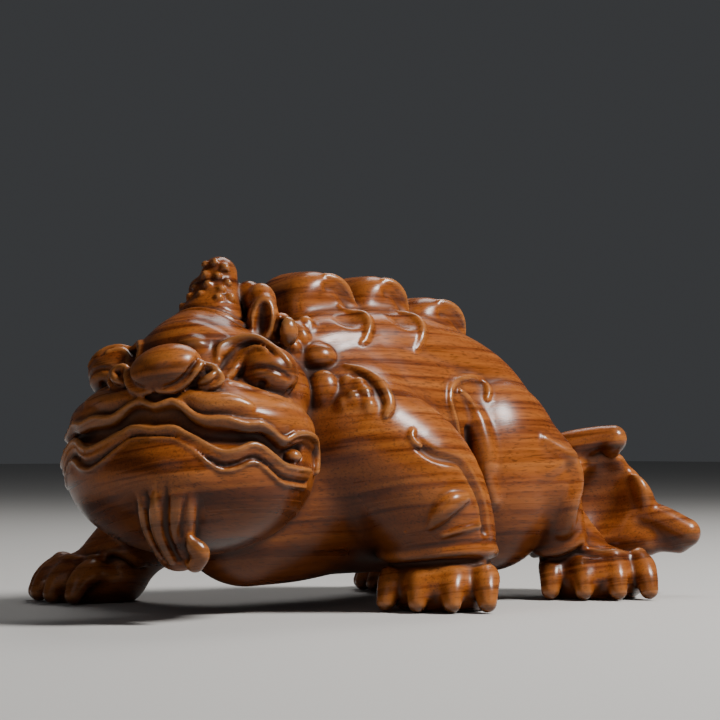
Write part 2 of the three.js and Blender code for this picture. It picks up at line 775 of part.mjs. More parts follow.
// The triangles in which the surface crosses a tetrahedron whose corners in the mask are solid,
// each given by three edges of the cell and wound so that it faces out of the wood.
function crossingsOf(four, mask) {
  const inside = four.filter((_, i) => (mask >> i) & 1);
  const outside = four.filter((_, i) => !((mask >> i) & 1));
  if (!inside.length || !outside.length) return [];
  let ring = [];
  if (inside.length === 1) ring = outside.map((d) => [inside[0], d]);
  else if (outside.length === 1) ring = inside.map((c) => [c, outside[0]]);
  else ring = [[0, 0], [0, 1], [1, 1], [1, 0]].map(([i, j]) => [inside[i], outside[j]]);
  const middle = ring.map(([c, d]) => cornerAt(c).lerp(cornerAt(d), 0.5));
  const normal = middle[1].clone().sub(middle[0]).cross(middle[2].clone().sub(middle[0]));
  if (normal.dot(cornerAt(ring[0][1]).sub(cornerAt(ring[0][0]))) < 0) ring.reverse();
  return ring.length === 3 ? [ring] : [[ring[0], ring[1], ring[2]], [ring[0], ring[2], ring[3]]];
}

const CROSSINGS = TETRAHEDRA.map((four) => Array.from({ length: 16 }, (_, mask) => crossingsOf(four, mask)));

// The carved surface as triangles.
function skin(block) {
  const { field, size, step, lo, cell } = block;
  const cornerAt = (c) => (c & 1) * step[0] + ((c >> 1) & 1) * step[1] + (c >> 2) * step[2];
  const corner = Array.from({ length: 8 }, (_, c) => cornerAt(c));
  const places = [];
  const faces = [];
  const known = new Map();
  const nodeAt = (n) => [n % size[0], Math.floor(n / step[1]) % size[1], Math.floor(n / step[2])];
  const crossing = (n, [c, d]) => {
    const key = (n + corner[c & d]) * 8 + (c ^ d);
    if (!known.has(key)) {
      const a = n + corner[c];
      const b = n + corner[d];
      const t = field[a] / (field[a] - field[b]);
      const p = nodeAt(a);
      const q = nodeAt(b);
      known.set(key, places.length / 3);
      places.push(...p.map((v, i) => lo[i] + cell * (v + t * (q[i] - v))));
    }
    return known.get(key);
  };
  for (let k = 0; k < size[2] - 1; k++)
    for (let j = 0; j < size[1] - 1; j++)
      for (let i = 0; i < size[0] - 1; i++) {
        const n = i + j * step[1] + k * step[2];
        let solid = 0;
        for (let c = 0; c < 8; c++) if (field[n + corner[c]] < 0) solid++;
        if (solid === 0 || solid === 8) continue;
        TETRAHEDRA.forEach((four, t) => {
          const mask = four.reduce((sum, c, place) => sum + (field[n + corner[c]] < 0 ? 1 << place : 0), 0);
          for (const triangle of CROSSINGS[t][mask]) faces.push(...triangle.map((edge) => crossing(n, edge)));
        });
      }
  return { places, faces };
}

// Keeps the one shell that has the most faces, and drops any chip that hangs free.
function largest({ places, faces }) {
  const owner = Int32Array.from({ length: places.length / 3 }, (_, v) => v);
  const root = (v) => {
    while (owner[v] !== v) v = owner[v] = owner[owner[v]];
    return v;
  };
  for (let f = 0; f < faces.length; f += 3) {
    owner[root(faces[f + 1])] = root(faces[f]);
    owner[root(faces[f + 2])] = root(faces[f]);
  }
  const tally = new Map();
  for (let f = 0; f < faces.length; f += 3) tally.set(root(faces[f]), (tally.get(root(faces[f])) || 0) + 1);
  const main = [...tally].sort((a, b) => b[1] - a[1])[0][0];
  return { places, faces: faces.filter((_, n) => root(faces[3 * Math.floor(n / 3)]) === main) };
}

// Sands the surface: each point moves part of the way to the middle of its neighbours. Soles stay flat.
function sand({ places, faces }, rounds, share) {
  const count = places.length / 3;
  for (let round = 0; round < rounds; round++) {
    const sum = new Float64Array(count * 4);
    for (let f = 0; f < faces.length; f += 3)
      for (let e = 0; e < 3; e++) {
        const a = faces[f + e];
        const b = faces[f + ((e + 1) % 3)];
        for (let i = 0; i < 3; i++) sum[4 * a + i] += places[3 * b + i];
        sum[4 * a + 3]++;
      }
    for (let v = 0; v < count; v++) {
      if (places[3 * v + 2] < 0.02) continue;
      for (let i = 0; i < 3; i++) {
        const middle = sum[4 * v + i] / sum[4 * v + 3];
        places[3 * v + i] += share * (middle - places[3 * v + i]);
      }
    }
  }
}

// Sums of squared distances to planes, kept as the ten numbers of a symmetric four by four table.
const PLANE_PAIRS = [[0, 0], [0, 1], [0, 2], [0, 3], [1, 1], [1, 2], [1, 3], [2, 2], [2, 3], [3, 3]];

// Merges points along edges, cheapest first, until only so many faces are left. The surface stays closed.
function simplify({ places, faces }, target) {
  const count = places.length / 3;
  const P = Float64Array.from(places);
  const Q = new Float64Array(count * 10);
  const F = Int32Array.from(faces);
  const live = new Uint8Array(F.length / 3).fill(1);
  const around = Array.from({ length: count }, () => []);
  const stamp = new Int32Array(count);
  for (let f = 0; f < F.length / 3; f++) for (let e = 0; e < 3; e++) around[F[3 * f + e]].push(f);

  const normalOf = (a, b, c) => {
    const ux = b[0] - a[0], uy = b[1] - a[1], uz = b[2] - a[2];
    const vx = c[0] - a[0], vy = c[1] - a[1], vz = c[2] - a[2];
    return [uy * vz - uz * vy, uz * vx - ux * vz, ux * vy - uy * vx];
  };
  const place = (v) => [P[3 * v], P[3 * v + 1], P[3 * v + 2]];
  const addPlane = (v, plane, weight) => {
    PLANE_PAIRS.forEach(([i, j], n) => (Q[10 * v + n] += weight * plane[i] * plane[j]));
  };
  for (let f = 0; f < F.length / 3; f++) {
    const corners = [F[3 * f], F[3 * f + 1], F[3 * f + 2]];
    const [a, b, c] = corners.map(place);
    const n = normalOf(a, b, c);
    const twice = Math.hypot(...n);
    if (twice < 1e-12) continue;
    const plane = n.map((v) => v / twice);
    plane.push(-(plane[0] * a[0] + plane[1] * a[1] + plane[2] * a[2]));
    for (const v of corners) addPlane(v, plane, twice);
  }
  const SOLE_HOLD = 200;
  for (let v = 0; v < count; v++) if (P[3 * v + 2] < 0.02) addPlane(v, [0, 0, 1, 0], SOLE_HOLD);

  const errorAt = (q, [x, y, z]) =>
    q[0] * x * x + 2 * q[1] * x * y + 2 * q[2] * x * z + 2 * q[3] * x + q[4] * y * y +
    2 * q[5] * y * z + 2 * q[6] * y + q[7] * z * z + 2 * q[8] * z + q[9];
  const merged = (a, b) => {
    const q = new Float64Array(10);
    for (let n = 0; n < 10; n++) q[n] = Q[10 * a + n] + Q[10 * b + n];
    const A = place(a);
    const B = place(b);
    const middle = A.map((v, i) => (v + B[i]) / 2);
    const options = [middle, A, B];
    const c00 = q[4] * q[7] - q[5] * q[5];
    const c01 = q[2] * q[5] - q[1] * q[7];
    const c02 = q[1] * q[5] - q[2] * q[4];
    const det = q[0] * c00 + q[1] * c01 + q[2] * c02;
    const size = q[0] + q[4] + q[7];
    if (Math.abs(det) > 1e-5 * size ** 3) {
      const c11 = q[0] * q[7] - q[2] * q[2];
      const c12 = q[1] * q[2] - q[0] * q[5];
      const c22 = q[0] * q[4] - q[1] * q[1];
      const best = [
        -(c00 * q[3] + c01 * q[6] + c02 * q[8]) / det,
        -(c01 * q[3] + c11 * q[6] + c12 * q[8]) / det,
        -(c02 * q[3] + c12 * q[6] + c22 * q[8]) / det,
      ];
      const long = Math.hypot(A[0] - B[0], A[1] - B[1], A[2] - B[2]);
      const away = Math.hypot(best[0] - middle[0], best[1] - middle[1], best[2] - middle[2]);
      if (away < 1.5 * long) options.unshift(best);
    }
    let at = options[0];
    let cost = errorAt(q, at);
    for (const p of options.slice(1)) {
      const e = errorAt(q, p);
      if (e < cost) [at, cost] = [p, e];
    }
    const long = Math.hypot(A[0] - B[0], A[1] - B[1], A[2] - B[2]);
    return { at, cost: Math.max(cost, 0) + 1e-3 * long * long };
  };

  const heap = [];
  const sift = (n) => {
    const item = heap[n];
    while (n > 0) {
      const up = (n - 1) >> 1;
      if (heap[up].cost <= item.cost) break;
      heap[n] = heap[up];
      n = up;
    }
    heap[n] = item;
  };
  const sink = (n) => {
    const item = heap[n];
    for (;;) {
      let down = 2 * n + 1;
      if (down >= heap.length) break;
      if (down + 1 < heap.length && heap[down + 1].cost < heap[down].cost) down++;
      if (heap[down].cost >= item.cost) break;
      heap[n] = heap[down];
      n = down;
    }
    heap[n] = item;
  };
  const offer = (a, b) => {
    heap.push({ a, b, ...merged(a, b), sa: stamp[a], sb: stamp[b] });
    sift(heap.length - 1);
  };
  const take = () => {
    const top = heap[0];
    const last = heap.pop();
    if (heap.length) {
      heap[0] = last;
      sink(0);
    }
    return top;
  };
  const ringOf = (v) => {
    const ring = new Set();
    for (const f of around[v]) for (let e = 0; e < 3; e++) if (F[3 * f + e] !== v) ring.add(F[3 * f + e]);
    return ring;
  };
  for (let f = 0; f < F.length / 3; f++)
    for (let e = 0; e < 3; e++) {
      const a = F[3 * f + e];
      const b = F[3 * f + ((e + 1) % 3)];
      if (a < b) offer(a, b);
    }

  let left = F.length / 3;
  while (left > target && heap.length) {
    const { a, b, at, sa, sb } = take();
    if (stamp[a] !== sa || stamp[b] !== sb) continue;
    const ringA = ringOf(a);
    const ringB = ringOf(b);
    let shared = 0;
    for (const v of ringA) if (ringB.has(v)) shared++;
    if (shared !== 2) continue;
    let sound = true;
    for (const [from, other] of [[a, b], [b, a]])
      for (const f of around[from]) {
        const corners = [F[3 * f], F[3 * f + 1], F[3 * f + 2]];
        if (corners.includes(other)) continue;
        const before = normalOf(...corners.map(place));
        const moved = corners.map((v) => (v === from ? at : place(v)));
        const after = normalOf(...moved);
        const area = Math.hypot(...after);
        const dot = before[0] * after[0] + before[1] * after[1] + before[2] * after[2];
        const edges = [0, 1, 2].map((i) => {
          const p = moved[i];
          const q = moved[(i + 1) % 3];
          return (p[0] - q[0]) ** 2 + (p[1] - q[1]) ** 2 + (p[2] - q[2]) ** 2;
        });
        if (dot < 0.3 * area * Math.hypot(...before) || area < 0.12 * Math.max(...edges)) sound = false;
      }
    if (!sound) continue;
    for (let i = 0; i < 3; i++) P[3 * a + i] = at[i];
    for (let n = 0; n < 10; n++) Q[10 * a + n] += Q[10 * b + n];
    for (const f of around[b]) {
      const corners = [F[3 * f], F[3 * f + 1], F[3 * f + 2]];
      if (corners.includes(a)) {
        live[f] = 0;
        left--;
        for (const v of corners) if (v !== b) around[v] = around[v].filter((g) => g !== f);
      } else {
        for (let e = 0; e < 3; e++) if (F[3 * f + e] === b) F[3 * f + e] = a;
        around[a].push(f);
      }
    }
    around[b] = [];
    stamp[b] = -1;
    stamp[a]++;
    for (const v of ringOf(a)) offer(Math.min(a, v), Math.max(a, v));
  }

  const renamed = new Map();
  const kept = [];
  const result = [];
  for (let f = 0; f < F.length / 3; f++) {
    if (!live[f]) continue;
    for (let e = 0; e < 3; e++) {
      const v = F[3 * f + e];
      if (!renamed.has(v)) {
        renamed.set(v, kept.length / 3);
        const p = place(v);
        if (Math.abs(p[2]) < 0.06) p[2] = 0;
        kept.push(...p);
      }
      result.push(renamed.get(v));
    }
  }
  return { places: kept, faces: result };
}

// The finished surface at its real size, with the middle of its box over the origin.
function geometryOf({ places, faces }) {
  const geometry = new THREE.BufferGeometry();
  geometry.setAttribute("position", new THREE.Float32BufferAttribute(places.map((v) => v * PART), 3));
  geometry.setIndex(faces);
  geometry.computeBoundingBox();
  const middle = geometry.boundingBox.getCenter(new THREE.Vector3());
  geometry.translate(-middle.x, -middle.y, 0);
  return geometry;
}

const rough = largest(skin(carve()));
sand(rough, 3, 0.5);
const figure = new THREE.Mesh(geometryOf(simplify(rough, FACES)), new THREE.MeshStandardMaterial(WOOD));
figure.name = "pixiu_figure";

const group = new THREE.Group();
group.add(figure);

export default group;
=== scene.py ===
import math

import bpy
import numpy as np
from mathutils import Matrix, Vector


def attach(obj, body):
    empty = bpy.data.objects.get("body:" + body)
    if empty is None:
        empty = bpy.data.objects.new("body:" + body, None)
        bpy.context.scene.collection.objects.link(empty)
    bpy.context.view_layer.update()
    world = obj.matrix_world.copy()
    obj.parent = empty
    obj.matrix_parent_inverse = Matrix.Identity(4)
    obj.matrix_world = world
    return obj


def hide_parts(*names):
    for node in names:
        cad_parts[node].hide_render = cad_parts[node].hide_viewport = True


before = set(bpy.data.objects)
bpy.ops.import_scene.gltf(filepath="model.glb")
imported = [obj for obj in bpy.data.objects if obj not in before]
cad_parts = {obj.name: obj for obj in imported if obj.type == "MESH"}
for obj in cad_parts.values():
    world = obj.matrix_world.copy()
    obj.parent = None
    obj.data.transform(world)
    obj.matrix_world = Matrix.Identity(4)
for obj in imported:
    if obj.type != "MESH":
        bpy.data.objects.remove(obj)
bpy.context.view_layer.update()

# The block and the trunk
# One piece of rosewood, squared up and then carved: a barrel of a body from chest to rump, a little
# narrower than high and low over the ground. Everything below is cut in the same block, so the forms are
# joined in one lattice that holds each node's distance to the surface, in millimetres.
CELL = 0.4
BLOCK_LOW = (-60, -58, -2 * CELL)
BLOCK_HIGH = (50, 112, 76)
FAR_OFF = 1000
MARGIN = 3
PROBE = 0.8
SETTLING_TURNS = 6
STEPS_PER_SPAN = 6
TRUNK_WIDTH = 0.86
TINY = 1e-6


def lesser(a, b, soft):
    """The lesser of two distances, taken down by a quarter of soft times the square of how near they
    are to each other, as a share of soft, so that two forms meet in a fillet."""
    if not soft:
        return np.minimum(a, b)
    near = np.maximum(soft - np.abs(a - b), 0) / soft
    return np.minimum(a, b) - near * near * (soft / 4)


class Block:
    """A lattice of distances to a carved surface, below zero in the wood."""

    def __init__(self, low, high):
        self.low = np.round(np.array(low) / CELL) * CELL
        size = np.ceil((np.array(high) - self.low) / CELL).astype(int) + 1
        self.field = np.full(size, FAR_OFF, np.float32)
        self.ground = self.field

    def hold(self):
        """Keeps the surface as it is now, for strokes to be laid on."""
        self.ground = self.field.copy()

    def room(self, low, high):
        """The slices of the lattice that hold a box, and the x, y and z of their nodes."""
        start = np.clip(np.floor((low - self.low) / CELL), 0, self.field.shape).astype(int)
        stop = np.clip(np.ceil((high - self.low) / CELL) + 1, 0, self.field.shape).astype(int)
        nodes = [self.low[i] + CELL * np.arange(start[i], stop[i]) for i in range(3)]
        return tuple(map(slice, start, stop)), np.ix_(*[n.astype(np.float32) for n in nodes])

    def add(self, form, soft):
        """Joins a form to the wood, with a fillet soft wide."""
        at, distance = form(self, soft + MARGIN)
        self.field[at] = lesser(self.field[at], distance, soft)

    def cut(self, form, soft):
        """Takes a form out of the wood, with its edges rounded over by soft."""
        at, distance = form(self, soft + MARGIN)
        self.field[at] = -lesser(-self.field[at], distance, soft)

    def merge(self, other, soft):
        """Joins what is carved in another block that lies within this one."""
        start = np.round((other.low - self.low) / CELL).astype(int)
        at = tuple(slice(a, a + n) for a, n in zip(start, other.field.shape))
        self.field[at] = lesser(self.field[at], other.field, soft)

    def value(self, points):
        """The distance at each point to the surface that is held, weighed from the eight nodes round it."""
        q = np.clip((points - self.low) / CELL, 0, np.array(self.ground.shape) - 1.001)
        c = q.astype(int)
        t = q - c
        total = np.zeros(len(points))
        for corner in np.ndindex(2, 2, 2):
            weight = np.prod(np.where(corner, t, 1 - t), axis=1)
            total += weight * self.ground[tuple((c + corner).T)]
        return total

    def settle(self, points, sink):
        """Moves points onto the surface that is held, then under it by sink. Each turn takes the distance
        off along the slope, which is its change from PROBE on one side to PROBE on the other."""
        for turn in range(SETTLING_TURNS):
            steps = [self.value(points + d) - self.value(points - d) for d in np.eye(3) * PROBE]
            slope = np.stack(steps, axis=1) / (2 * PROBE)
            d = self.value(points) + (sink if turn > 1 else 0)
            points = points - slope * (d / np.maximum((slope**2).sum(1), TINY))[:, None]
        return points


def axes(origin=(0, 0, 0), turn=0, tilt=0, roll=0, parent=None):
    """A frame of axes as a matrix: turned about Z, tilted about its own X, rolled about its own Y."""
    angles = map(math.radians, (turn, tilt, roll))
    (ct, st), (cx, sx), (cy, sy) = [(math.cos(a), math.sin(a)) for a in angles]
    matrix = np.eye(4)
    matrix[:3, :3] = (
        np.array([[ct, -st, 0], [st, ct, 0], [0, 0, 1]])
        @ np.array([[1, 0, 0], [0, cx, -sx], [0, sx, cx]])
        @ np.array([[cy, 0, sy], [0, 1, 0], [-sy, 0, cy]])
    )
    matrix[:3, 3] = origin
    return matrix if parent is None else parent @ matrix


def placed(place, points):
    """Points given in a frame, in the block."""
    return np.asarray(points, float) @ place[:3, :3].T + place[:3, 3]


def inside(place, x, y, z):
    """The nodes x, y, z of the block, in a frame."""
    m = np.linalg.inv(place).astype(np.float32)
    return [m[i, 0] * x + m[i, 1] * y + m[i, 2] * z + m[i, 3] for i in range(3)]


WORLD = axes()


def through(rows):
    """Points on a smooth curve through rows of x, y, z and radius: in each span a cubic whose ends slope
    by half of the step between the rows on either side."""
    p = np.array(rows, float)
    p = np.concatenate([[2 * p[0] - p[1]], p, [2 * p[-1] - p[-2]]])
    t = np.linspace(0, 1, STEPS_PER_SPAN, endpoint=False)[:, None, None]
    a, b, c, d = p[:-3], p[1:-2], p[2:-1], p[3:]
    s, e = (c - a) / 2, (d - b) / 2
    curve = b + s * t + (3 * (c - b) - 2 * s - e) * t**2 + (2 * (b - c) + s + e) * t**3
    return np.concatenate([curve.transpose(1, 0, 2).reshape(-1, 4), [p[-2]]])


def bar(place, points, width=1):
    """A round bar of changing radius: the distance to each straight piece of its middle line, less the
    radius there. Its section is so wide across X for its height."""

    def form(block, reach):
        ends = placed(place, points[:, :3] * [width, 1, 1])
        low, high = ends - points[:, 3:] - reach, ends + points[:, 3:] + reach
        at, _ = block.room(low.min(0), high.max(0))
        least = np.full([s.stop - s.start for s in at], FAR_OFF, np.float32)
        for i in range(len(points) - 1):
            own, grid = block.room(low[i : i + 2].min(0), high[i : i + 2].max(0))
            u, v, w = inside(place, *grid)
            a, b = points[i], points[i + 1]
            along = (b - a)[:3]
            pu, pv, pw = u / width - a[0], v - a[1], w - a[2]
            t = np.clip((pu * along[0] + pv * along[1] + pw * along[2]) / max(along @ along, 1e-9), 0, 1)
            d = np.sqrt((pu - t * along[0]) ** 2 + (pv - t * along[1]) ** 2 + (pw - t * along[2]) ** 2)
            d = (d - (a[3] + t * (b[3] - a[3]))) * width
            sub = tuple(slice(o.start - s.start, o.stop - s.start) for o, s in zip(own, at))
            least[sub] = np.minimum(least[sub], d)
        return at, least

    return form


def limb(place, rows, width=1):
    """A bar along a smooth curve through rows of x, y, z and radius."""
    return bar(place, through([[x / width, y, z, r] for x, y, z, r in rows]), width)


block = Block(BLOCK_LOW, BLOCK_HIGH)
barrel = [
    [8, -9, 21, 15.8],
    [6, 2, 28, 22.5],
    [3, 14, 34.5, 28],
    [0, 31, 35, 28.5],
    [0, 46, 32, 25],
    [1, 59, 28, 18],
]
block.add(limb(WORLD, barrel, TRUNK_WIDTH), 0)

# The legs and paws
# Four bent legs, each run out of the barrel with a haunch or shoulder behind it. A paw is a low palm with
# four bent toes that narrow to blunt claws, and a roll of skin over a groove at the wrist. All four soles
# are sawn flat at one level. Each paw below has its place on the ground, its turn and its size.
SIDES = (-1, 1)
PAWS = {
    "near fore": ((28.8, 26.6), 40, 1.04),
    "far fore": ((-40.3, -13.9), -8, 1),
    "near hind": ((20.8, 79.2), 52, 1.08),
    "far hind": ((-26, 66), -35, 1),
}
TOES = ((-9.4, 2.6), (-3.3, 0.2), (3.2, 0), (9.4, 2))
TOE_GAPS = ((-6.6, -12.2), (0, -13.6), (6.5, -12.4))
HAUNCH_HALF = (14, 19, 21.5)
PALM_MIDDLE = (0, -0.5, 4.4)
PALM_HALF = (11, 11.6, 6.6)
KNUCKLE_HALF = (2.2, 2.4, 2.3)
TOE_CUT_HALF = (1, 3.4, 4.4)
WRIST_HALF = (11.5, 11)


def egg(place, middle, half, turn=(0, 0, 0)):
    """An ellipsoid: with k the length of the point over the half-widths, and g the length of that over
    the half-widths once more, the distance is k (k - 1) / g."""
    own = axes(middle, *turn, parent=place)
    far = max(half)

    def form(block, reach):
        at, grid = block.room(own[:3, 3] - far - reach, own[:3, 3] + far + reach)
        u, v, w = [c / h for c, h in zip(inside(own, *grid), half)]
        k = np.sqrt(u * u + v * v + w * w)
        g = np.sqrt((u / half[0]) ** 2 + (v / half[1]) ** 2 + (w / half[2]) ** 2)
        return at, np.where(g < TINY, -min(half), k * (k - 1) / np.maximum(g, TINY))

    return form


def stroke(block, place, rows, sink):
    """A fine bar laid on the carved surface, sunk in it by a share of its radius."""
    points = through(rows)
    points[:, :3] = block.settle(placed(place, points[:, :3]), sink * points[:, 3])
    return bar(WORLD, points)


def down(name, dx, dy, z, r):
    """A row of a leg's curve, placed from its paw."""
    (x, y), _, _ = PAWS[name]
    return [x + dx, y + dy, z, r]


def sized(rows, size):
    """Rows of a paw's form, all their numbers times its size."""
    return [[v * size for v in row] for row in rows]


def wristband(z, r):
    """Rather more than half an oval round the front of the wrist: x goes with the sine of the angle, and
    y, and a slight rise in front, with its cosine."""
    wide, long = WRIST_HALF
    angles = np.linspace(-1.9, 1.9, 9)
    return [[wide * math.sin(a), 2 - long * math.cos(a), z + 0.5 * math.cos(a), r] for a in angles]


for side in SIDES:
    block.add(egg(WORLD, (14 * side, 53, 28), HAUNCH_HALF), 2)
near_fore = [
    [20, 10, 36, 14],
    [25, 20, 27, 14.5],
    down("near fore", -1.8, 0.2, 15.5, 12),
    down("near fore", -1.2, 1.6, 8, 8.8),
]
far_fore = [
    [-10, 0, 30, 15],
    [-23, -5, 21, 11],
    down("far fore", 8.3, 5.9, 14, 8.5),
    down("far fore", 3.3, 2.9, 8, 8),
]
near_hind = [
    [18, 62, 28, 11],
    [19.8, 67, 19, 7],
    down("near hind", -2.3, -7, 11, 6),
    down("near hind", -0.8, -2, 7, 6.4),
]
near_heel = [
    [7, 68, 22, 10],
    down("near hind", -7, 0, 13, 7),
    down("near hind", -5.5, 3.5, 7, 5),
]
far_hind = [
    [-18, 58, 24, 12],
    down("far hind", 4, -1, 14, 9),
    down("far hind", 2, 0, 7, 8),
]
for soft, rows in ((3, near_fore), (4, far_fore), (2, near_hind), (2, near_heel), (3, far_hind)):
    block.add(limb(WORLD, rows), soft)
for spot, turn, size in PAWS.values():
    place = axes((*spot, 0), turn)
    block.add(egg(place, *sized((PALM_MIDDLE, PALM_HALF), size)), 2)
    for x, y in TOES:
        toe = [
            [x * 0.75, y - 2.5, 6, 3.1],
            [x * 0.95, y - 7, 6.7, 3],
            [x * 1.02, y - 10.2, 4.8, 2.5],
            [x * 1.07, y - 11.9, 2.1, 1.9],
        ]
        knuckle = sized([(x * 0.88, y - 5.6, 7.6)], size)[0]
        block.add(limb(place, sized(toe, size)), 1)
        block.add(egg(place, knuckle, KNUCKLE_HALF), 0.8)
    for x, y in TOE_GAPS:
        gap = sized([(x, y, 0)], size)[0]
        block.cut(egg(place, gap, TOE_CUT_HALF), 1)
    block.hold()
    block.cut(stroke(block, place, sized(wristband(9.7, 0.8), size), -0.2), 0.8)
    block.add(stroke(block, place, sized(wristband(11.4, 0.9), size), 0.3), 1.5)

# The tail
# A flame of wood that sweeps off the rump to the beast's left. A rim runs round its outer face, from the
# blunt upper tip down to the long lower one, and the face inside the rim is scooped into a shallow hollow.
TAIL = axes((13.5, 89.1, 0), 50)
tail_root = [[-18, 3, 26, 9], [-9, 2.5, 26, 8.5], [-3, 3.5, 23, 8], [3, 3.5, 18, 6.5]]
upper_tip = [[-12, 1, 31.5, 4.5], [-6, -0.5, 33.8, 3.8], [-1, -1.6, 35.4, 3], [2.7, -2, 35.6, 3.1]]
upper_back = [[-8, 3, 30, 5], [-1, 2.8, 31, 3.6], [3, 1.8, 29.5, 3]]
tail_rim = [
    [2.4, -2.4, 34.3, 2.5],
    [2.6, -2.2, 31.6, 2.3],
    [4.4, -1.6, 28.6, 2.3],
    [7.2, -1, 25.6, 2.4],
    [9.3, -0.4, 22.8, 2.5],
    [10.4, 0.4, 19.8, 2.6],
]
lower_tip = [[7, 1.4, 18.4, 3], [13, 0.4, 17.4, 3.2], [19.4, -0.8, 14, 3.4]]
lower_back = [[5, 2.4, 15, 4], [12, 2.4, 13.4, 3.6], [18, 1.2, 11.8, 2.6]]
tail_foot = [[-6, 3, 14, 5], [2, 2, 12.5, 4], [10, 1, 12, 3.6]]
flame = (
    (1.5, upper_tip),
    (1.5, upper_back),
    (1, tail_rim),
    (1, lower_tip),
    (1.5, lower_back),
    (2, tail_foot),
)
block.add(limb(TAIL, tail_root), 3)
block.add(egg(TAIL, (1, 2.8, 20), (10.5, 5, 11), (0, 0, 18)), 2)
for soft, rows in flame:
    block.add(limb(TAIL, rows), soft)
block.cut(egg(TAIL, (0.8, -4.3, 22.8), (6.6, 6.4, 9.8), (0, 0, 28)), 3)

# The marks
# Curls of hair are left standing as thin round ridges on the shoulder, the elbow and the flank, and softer
# folds of skin on the thigh and the hip. Creases are cut where the shoulder laps over the belly and in
# front of each thigh.
block.hold()


def sided(rows, side):
    """Rows of a form on one side: side is 1 for the left and -1 for the right."""
    return [[x * side, *rest] for x, *rest in rows]


lap = [
    [36.8, 12.6, 34.2, 1],
    [38.2, 16, 32, 1.1],
    [38.8, 22.2, 30.7, 1.1],
    [39.2, 24.7, 28.1, 1.2],
    [39.2, 28.4, 22, 1.2],
    [39.6, 29.3, 16.7, 1.2],
]
elbow = [[37.3, 15.5, 17.4, 0.8], [38.4, 16.8, 20, 2.2], [39.5, 19.2, 22.4, 2.4], [40.1, 22.7, 23.4, 1.2]]
thin_fold = [
    [38.2, 18.4, 15.5, 0.7],
    [39.2, 20.4, 16.3, 0.8],
    [39.8, 22.6, 16.9, 0.8],
    [39.9, 27.3, 17.6, 0.6],
]
swirl = [[35.6, 12.3, 37.2, 0.5], [35.9, 11.5, 35.8, 0.8], [36.5, 12.1, 34.6, 0.8], [37, 13, 34, 0.6]]
curl = [
    [25.4, 35.5, 33.5, 0.6],
    [24.2, 34.4, 38, 0.7],
    [23.8, 33.1, 42.6, 0.8],
    [23.2, 33.5, 44.7, 0.8],
    [22.5, 34.5, 46.2, 0.8],
    [21.4, 36.7, 47.6, 0.8],
    [20.3, 39.8, 48.4, 0.8],
    [19.2, 43.3, 48.7, 0.8],
    [18.9, 45.9, 48.3, 0.8],
    [19.4, 47.3, 47.3, 0.8],
    [20.7, 47, 45.8, 0.8],
    [22, 45.6, 44.2, 0.6],
]
drop = [[22.1, 37.5, 45.5, 0.8], [22.1, 39.2, 44.2, 1], [22.4, 40.2, 42.7, 0.8]]
thigh = [
    [22.5, 41.2, 41.7, 1.2],
    [23.2, 41.7, 39.5, 1.7],
    [24.4, 41.8, 35.2, 2.3],
    [25.2, 41.9, 31, 2.4],
    [25.4, 42, 27.6, 1.8],
    [25.6, 43.5, 22.4, 1.4],
]
crease = [[24.4, 38.6, 37.4, 1.1], [25.4, 39, 32, 1.3], [25.8, 39.5, 26, 1.3], [25, 41, 20, 1.2]]
hip = [
    [26.8, 58.2, 35.3, 1.2],
    [27.9, 63.2, 32.6, 1.8],
    [27.6, 66, 30.4, 2.2],
    [27.8, 67.2, 26, 2.1],
    [28.4, 65.6, 21.5, 2.4],
    [27, 65, 15, 2],
]
marks = (
    (0.25, 0.6, elbow),
    (0.3, 0.5, thin_fold),
    (0.2, 0.4, swirl),
    (0, 0.5, curl),
    (0, 0.5, drop),
    (0.1, 2, thigh),
    (0.3, 1.5, hip),
)
for rows in (lap, crease, sided(crease, -1)):
    block.cut(stroke(block, WORLD, rows, -0.1), 0.8)
for sink, soft, rows in marks:
    block.add(stroke(block, WORLD, rows, sink), soft)

# The crest
# Three thick round scales stand in a row on the spine, each with a raised rim along its rear edge and a
# groove inside the rim. They rise from a saddle on the back, where two hems on each side mark the edges of
# flat scales laid one over the next.
CREST_X = 1
REAR_ANGLES = np.linspace(1.5, 0.1, 9)
SCALE_HALF_THICK = 8.6
RIM_RADII = [0.4 + 0.9 * math.sin(2 * a) for a in REAR_ANGLES]
GROOVE_RADII = [0.8] * len(REAR_ANGLES)


def plate(place, middle, half, turn=(0, 0, 0)):
    """A round plate with a full edge: as an egg, but k is the fourth root of the sum of the fourth powers
    of the distance from the axis and of the height, each over its half-width."""
    own = axes(middle, *turn, parent=place)
    far = math.hypot(*half)

    def form(block, reach):
        at, grid = block.room(own[:3, 3] - far - reach, own[:3, 3] + far + reach)
        u, v, w = [c / h for c, h in zip(inside(own, *grid), half)]
        across = u * u + v * v
        k = np.maximum((across * across + w**4) ** 0.25, 1e-3)
        g = np.sqrt(across**2 * ((u / half[0]) ** 2 + (v / half[1]) ** 2) + (w**3 / half[2]) ** 2) / k**3
        return at, (k - 1) / np.maximum(g, 1e-3)

    return form


def rear_arc(scale, x, less_long, less_tall, radii):
    """A quarter of an oval inside a scale's rear edge, from its top down: y goes with the cosine of the
    angle and z with its sine."""
    y, z, long, tall = scale
    return [
        [x, y + (long - less_long) * math.cos(a), z + (tall - less_tall) * math.sin(a), r]
        for a, r in zip(REAR_ANGLES, radii)
    ]


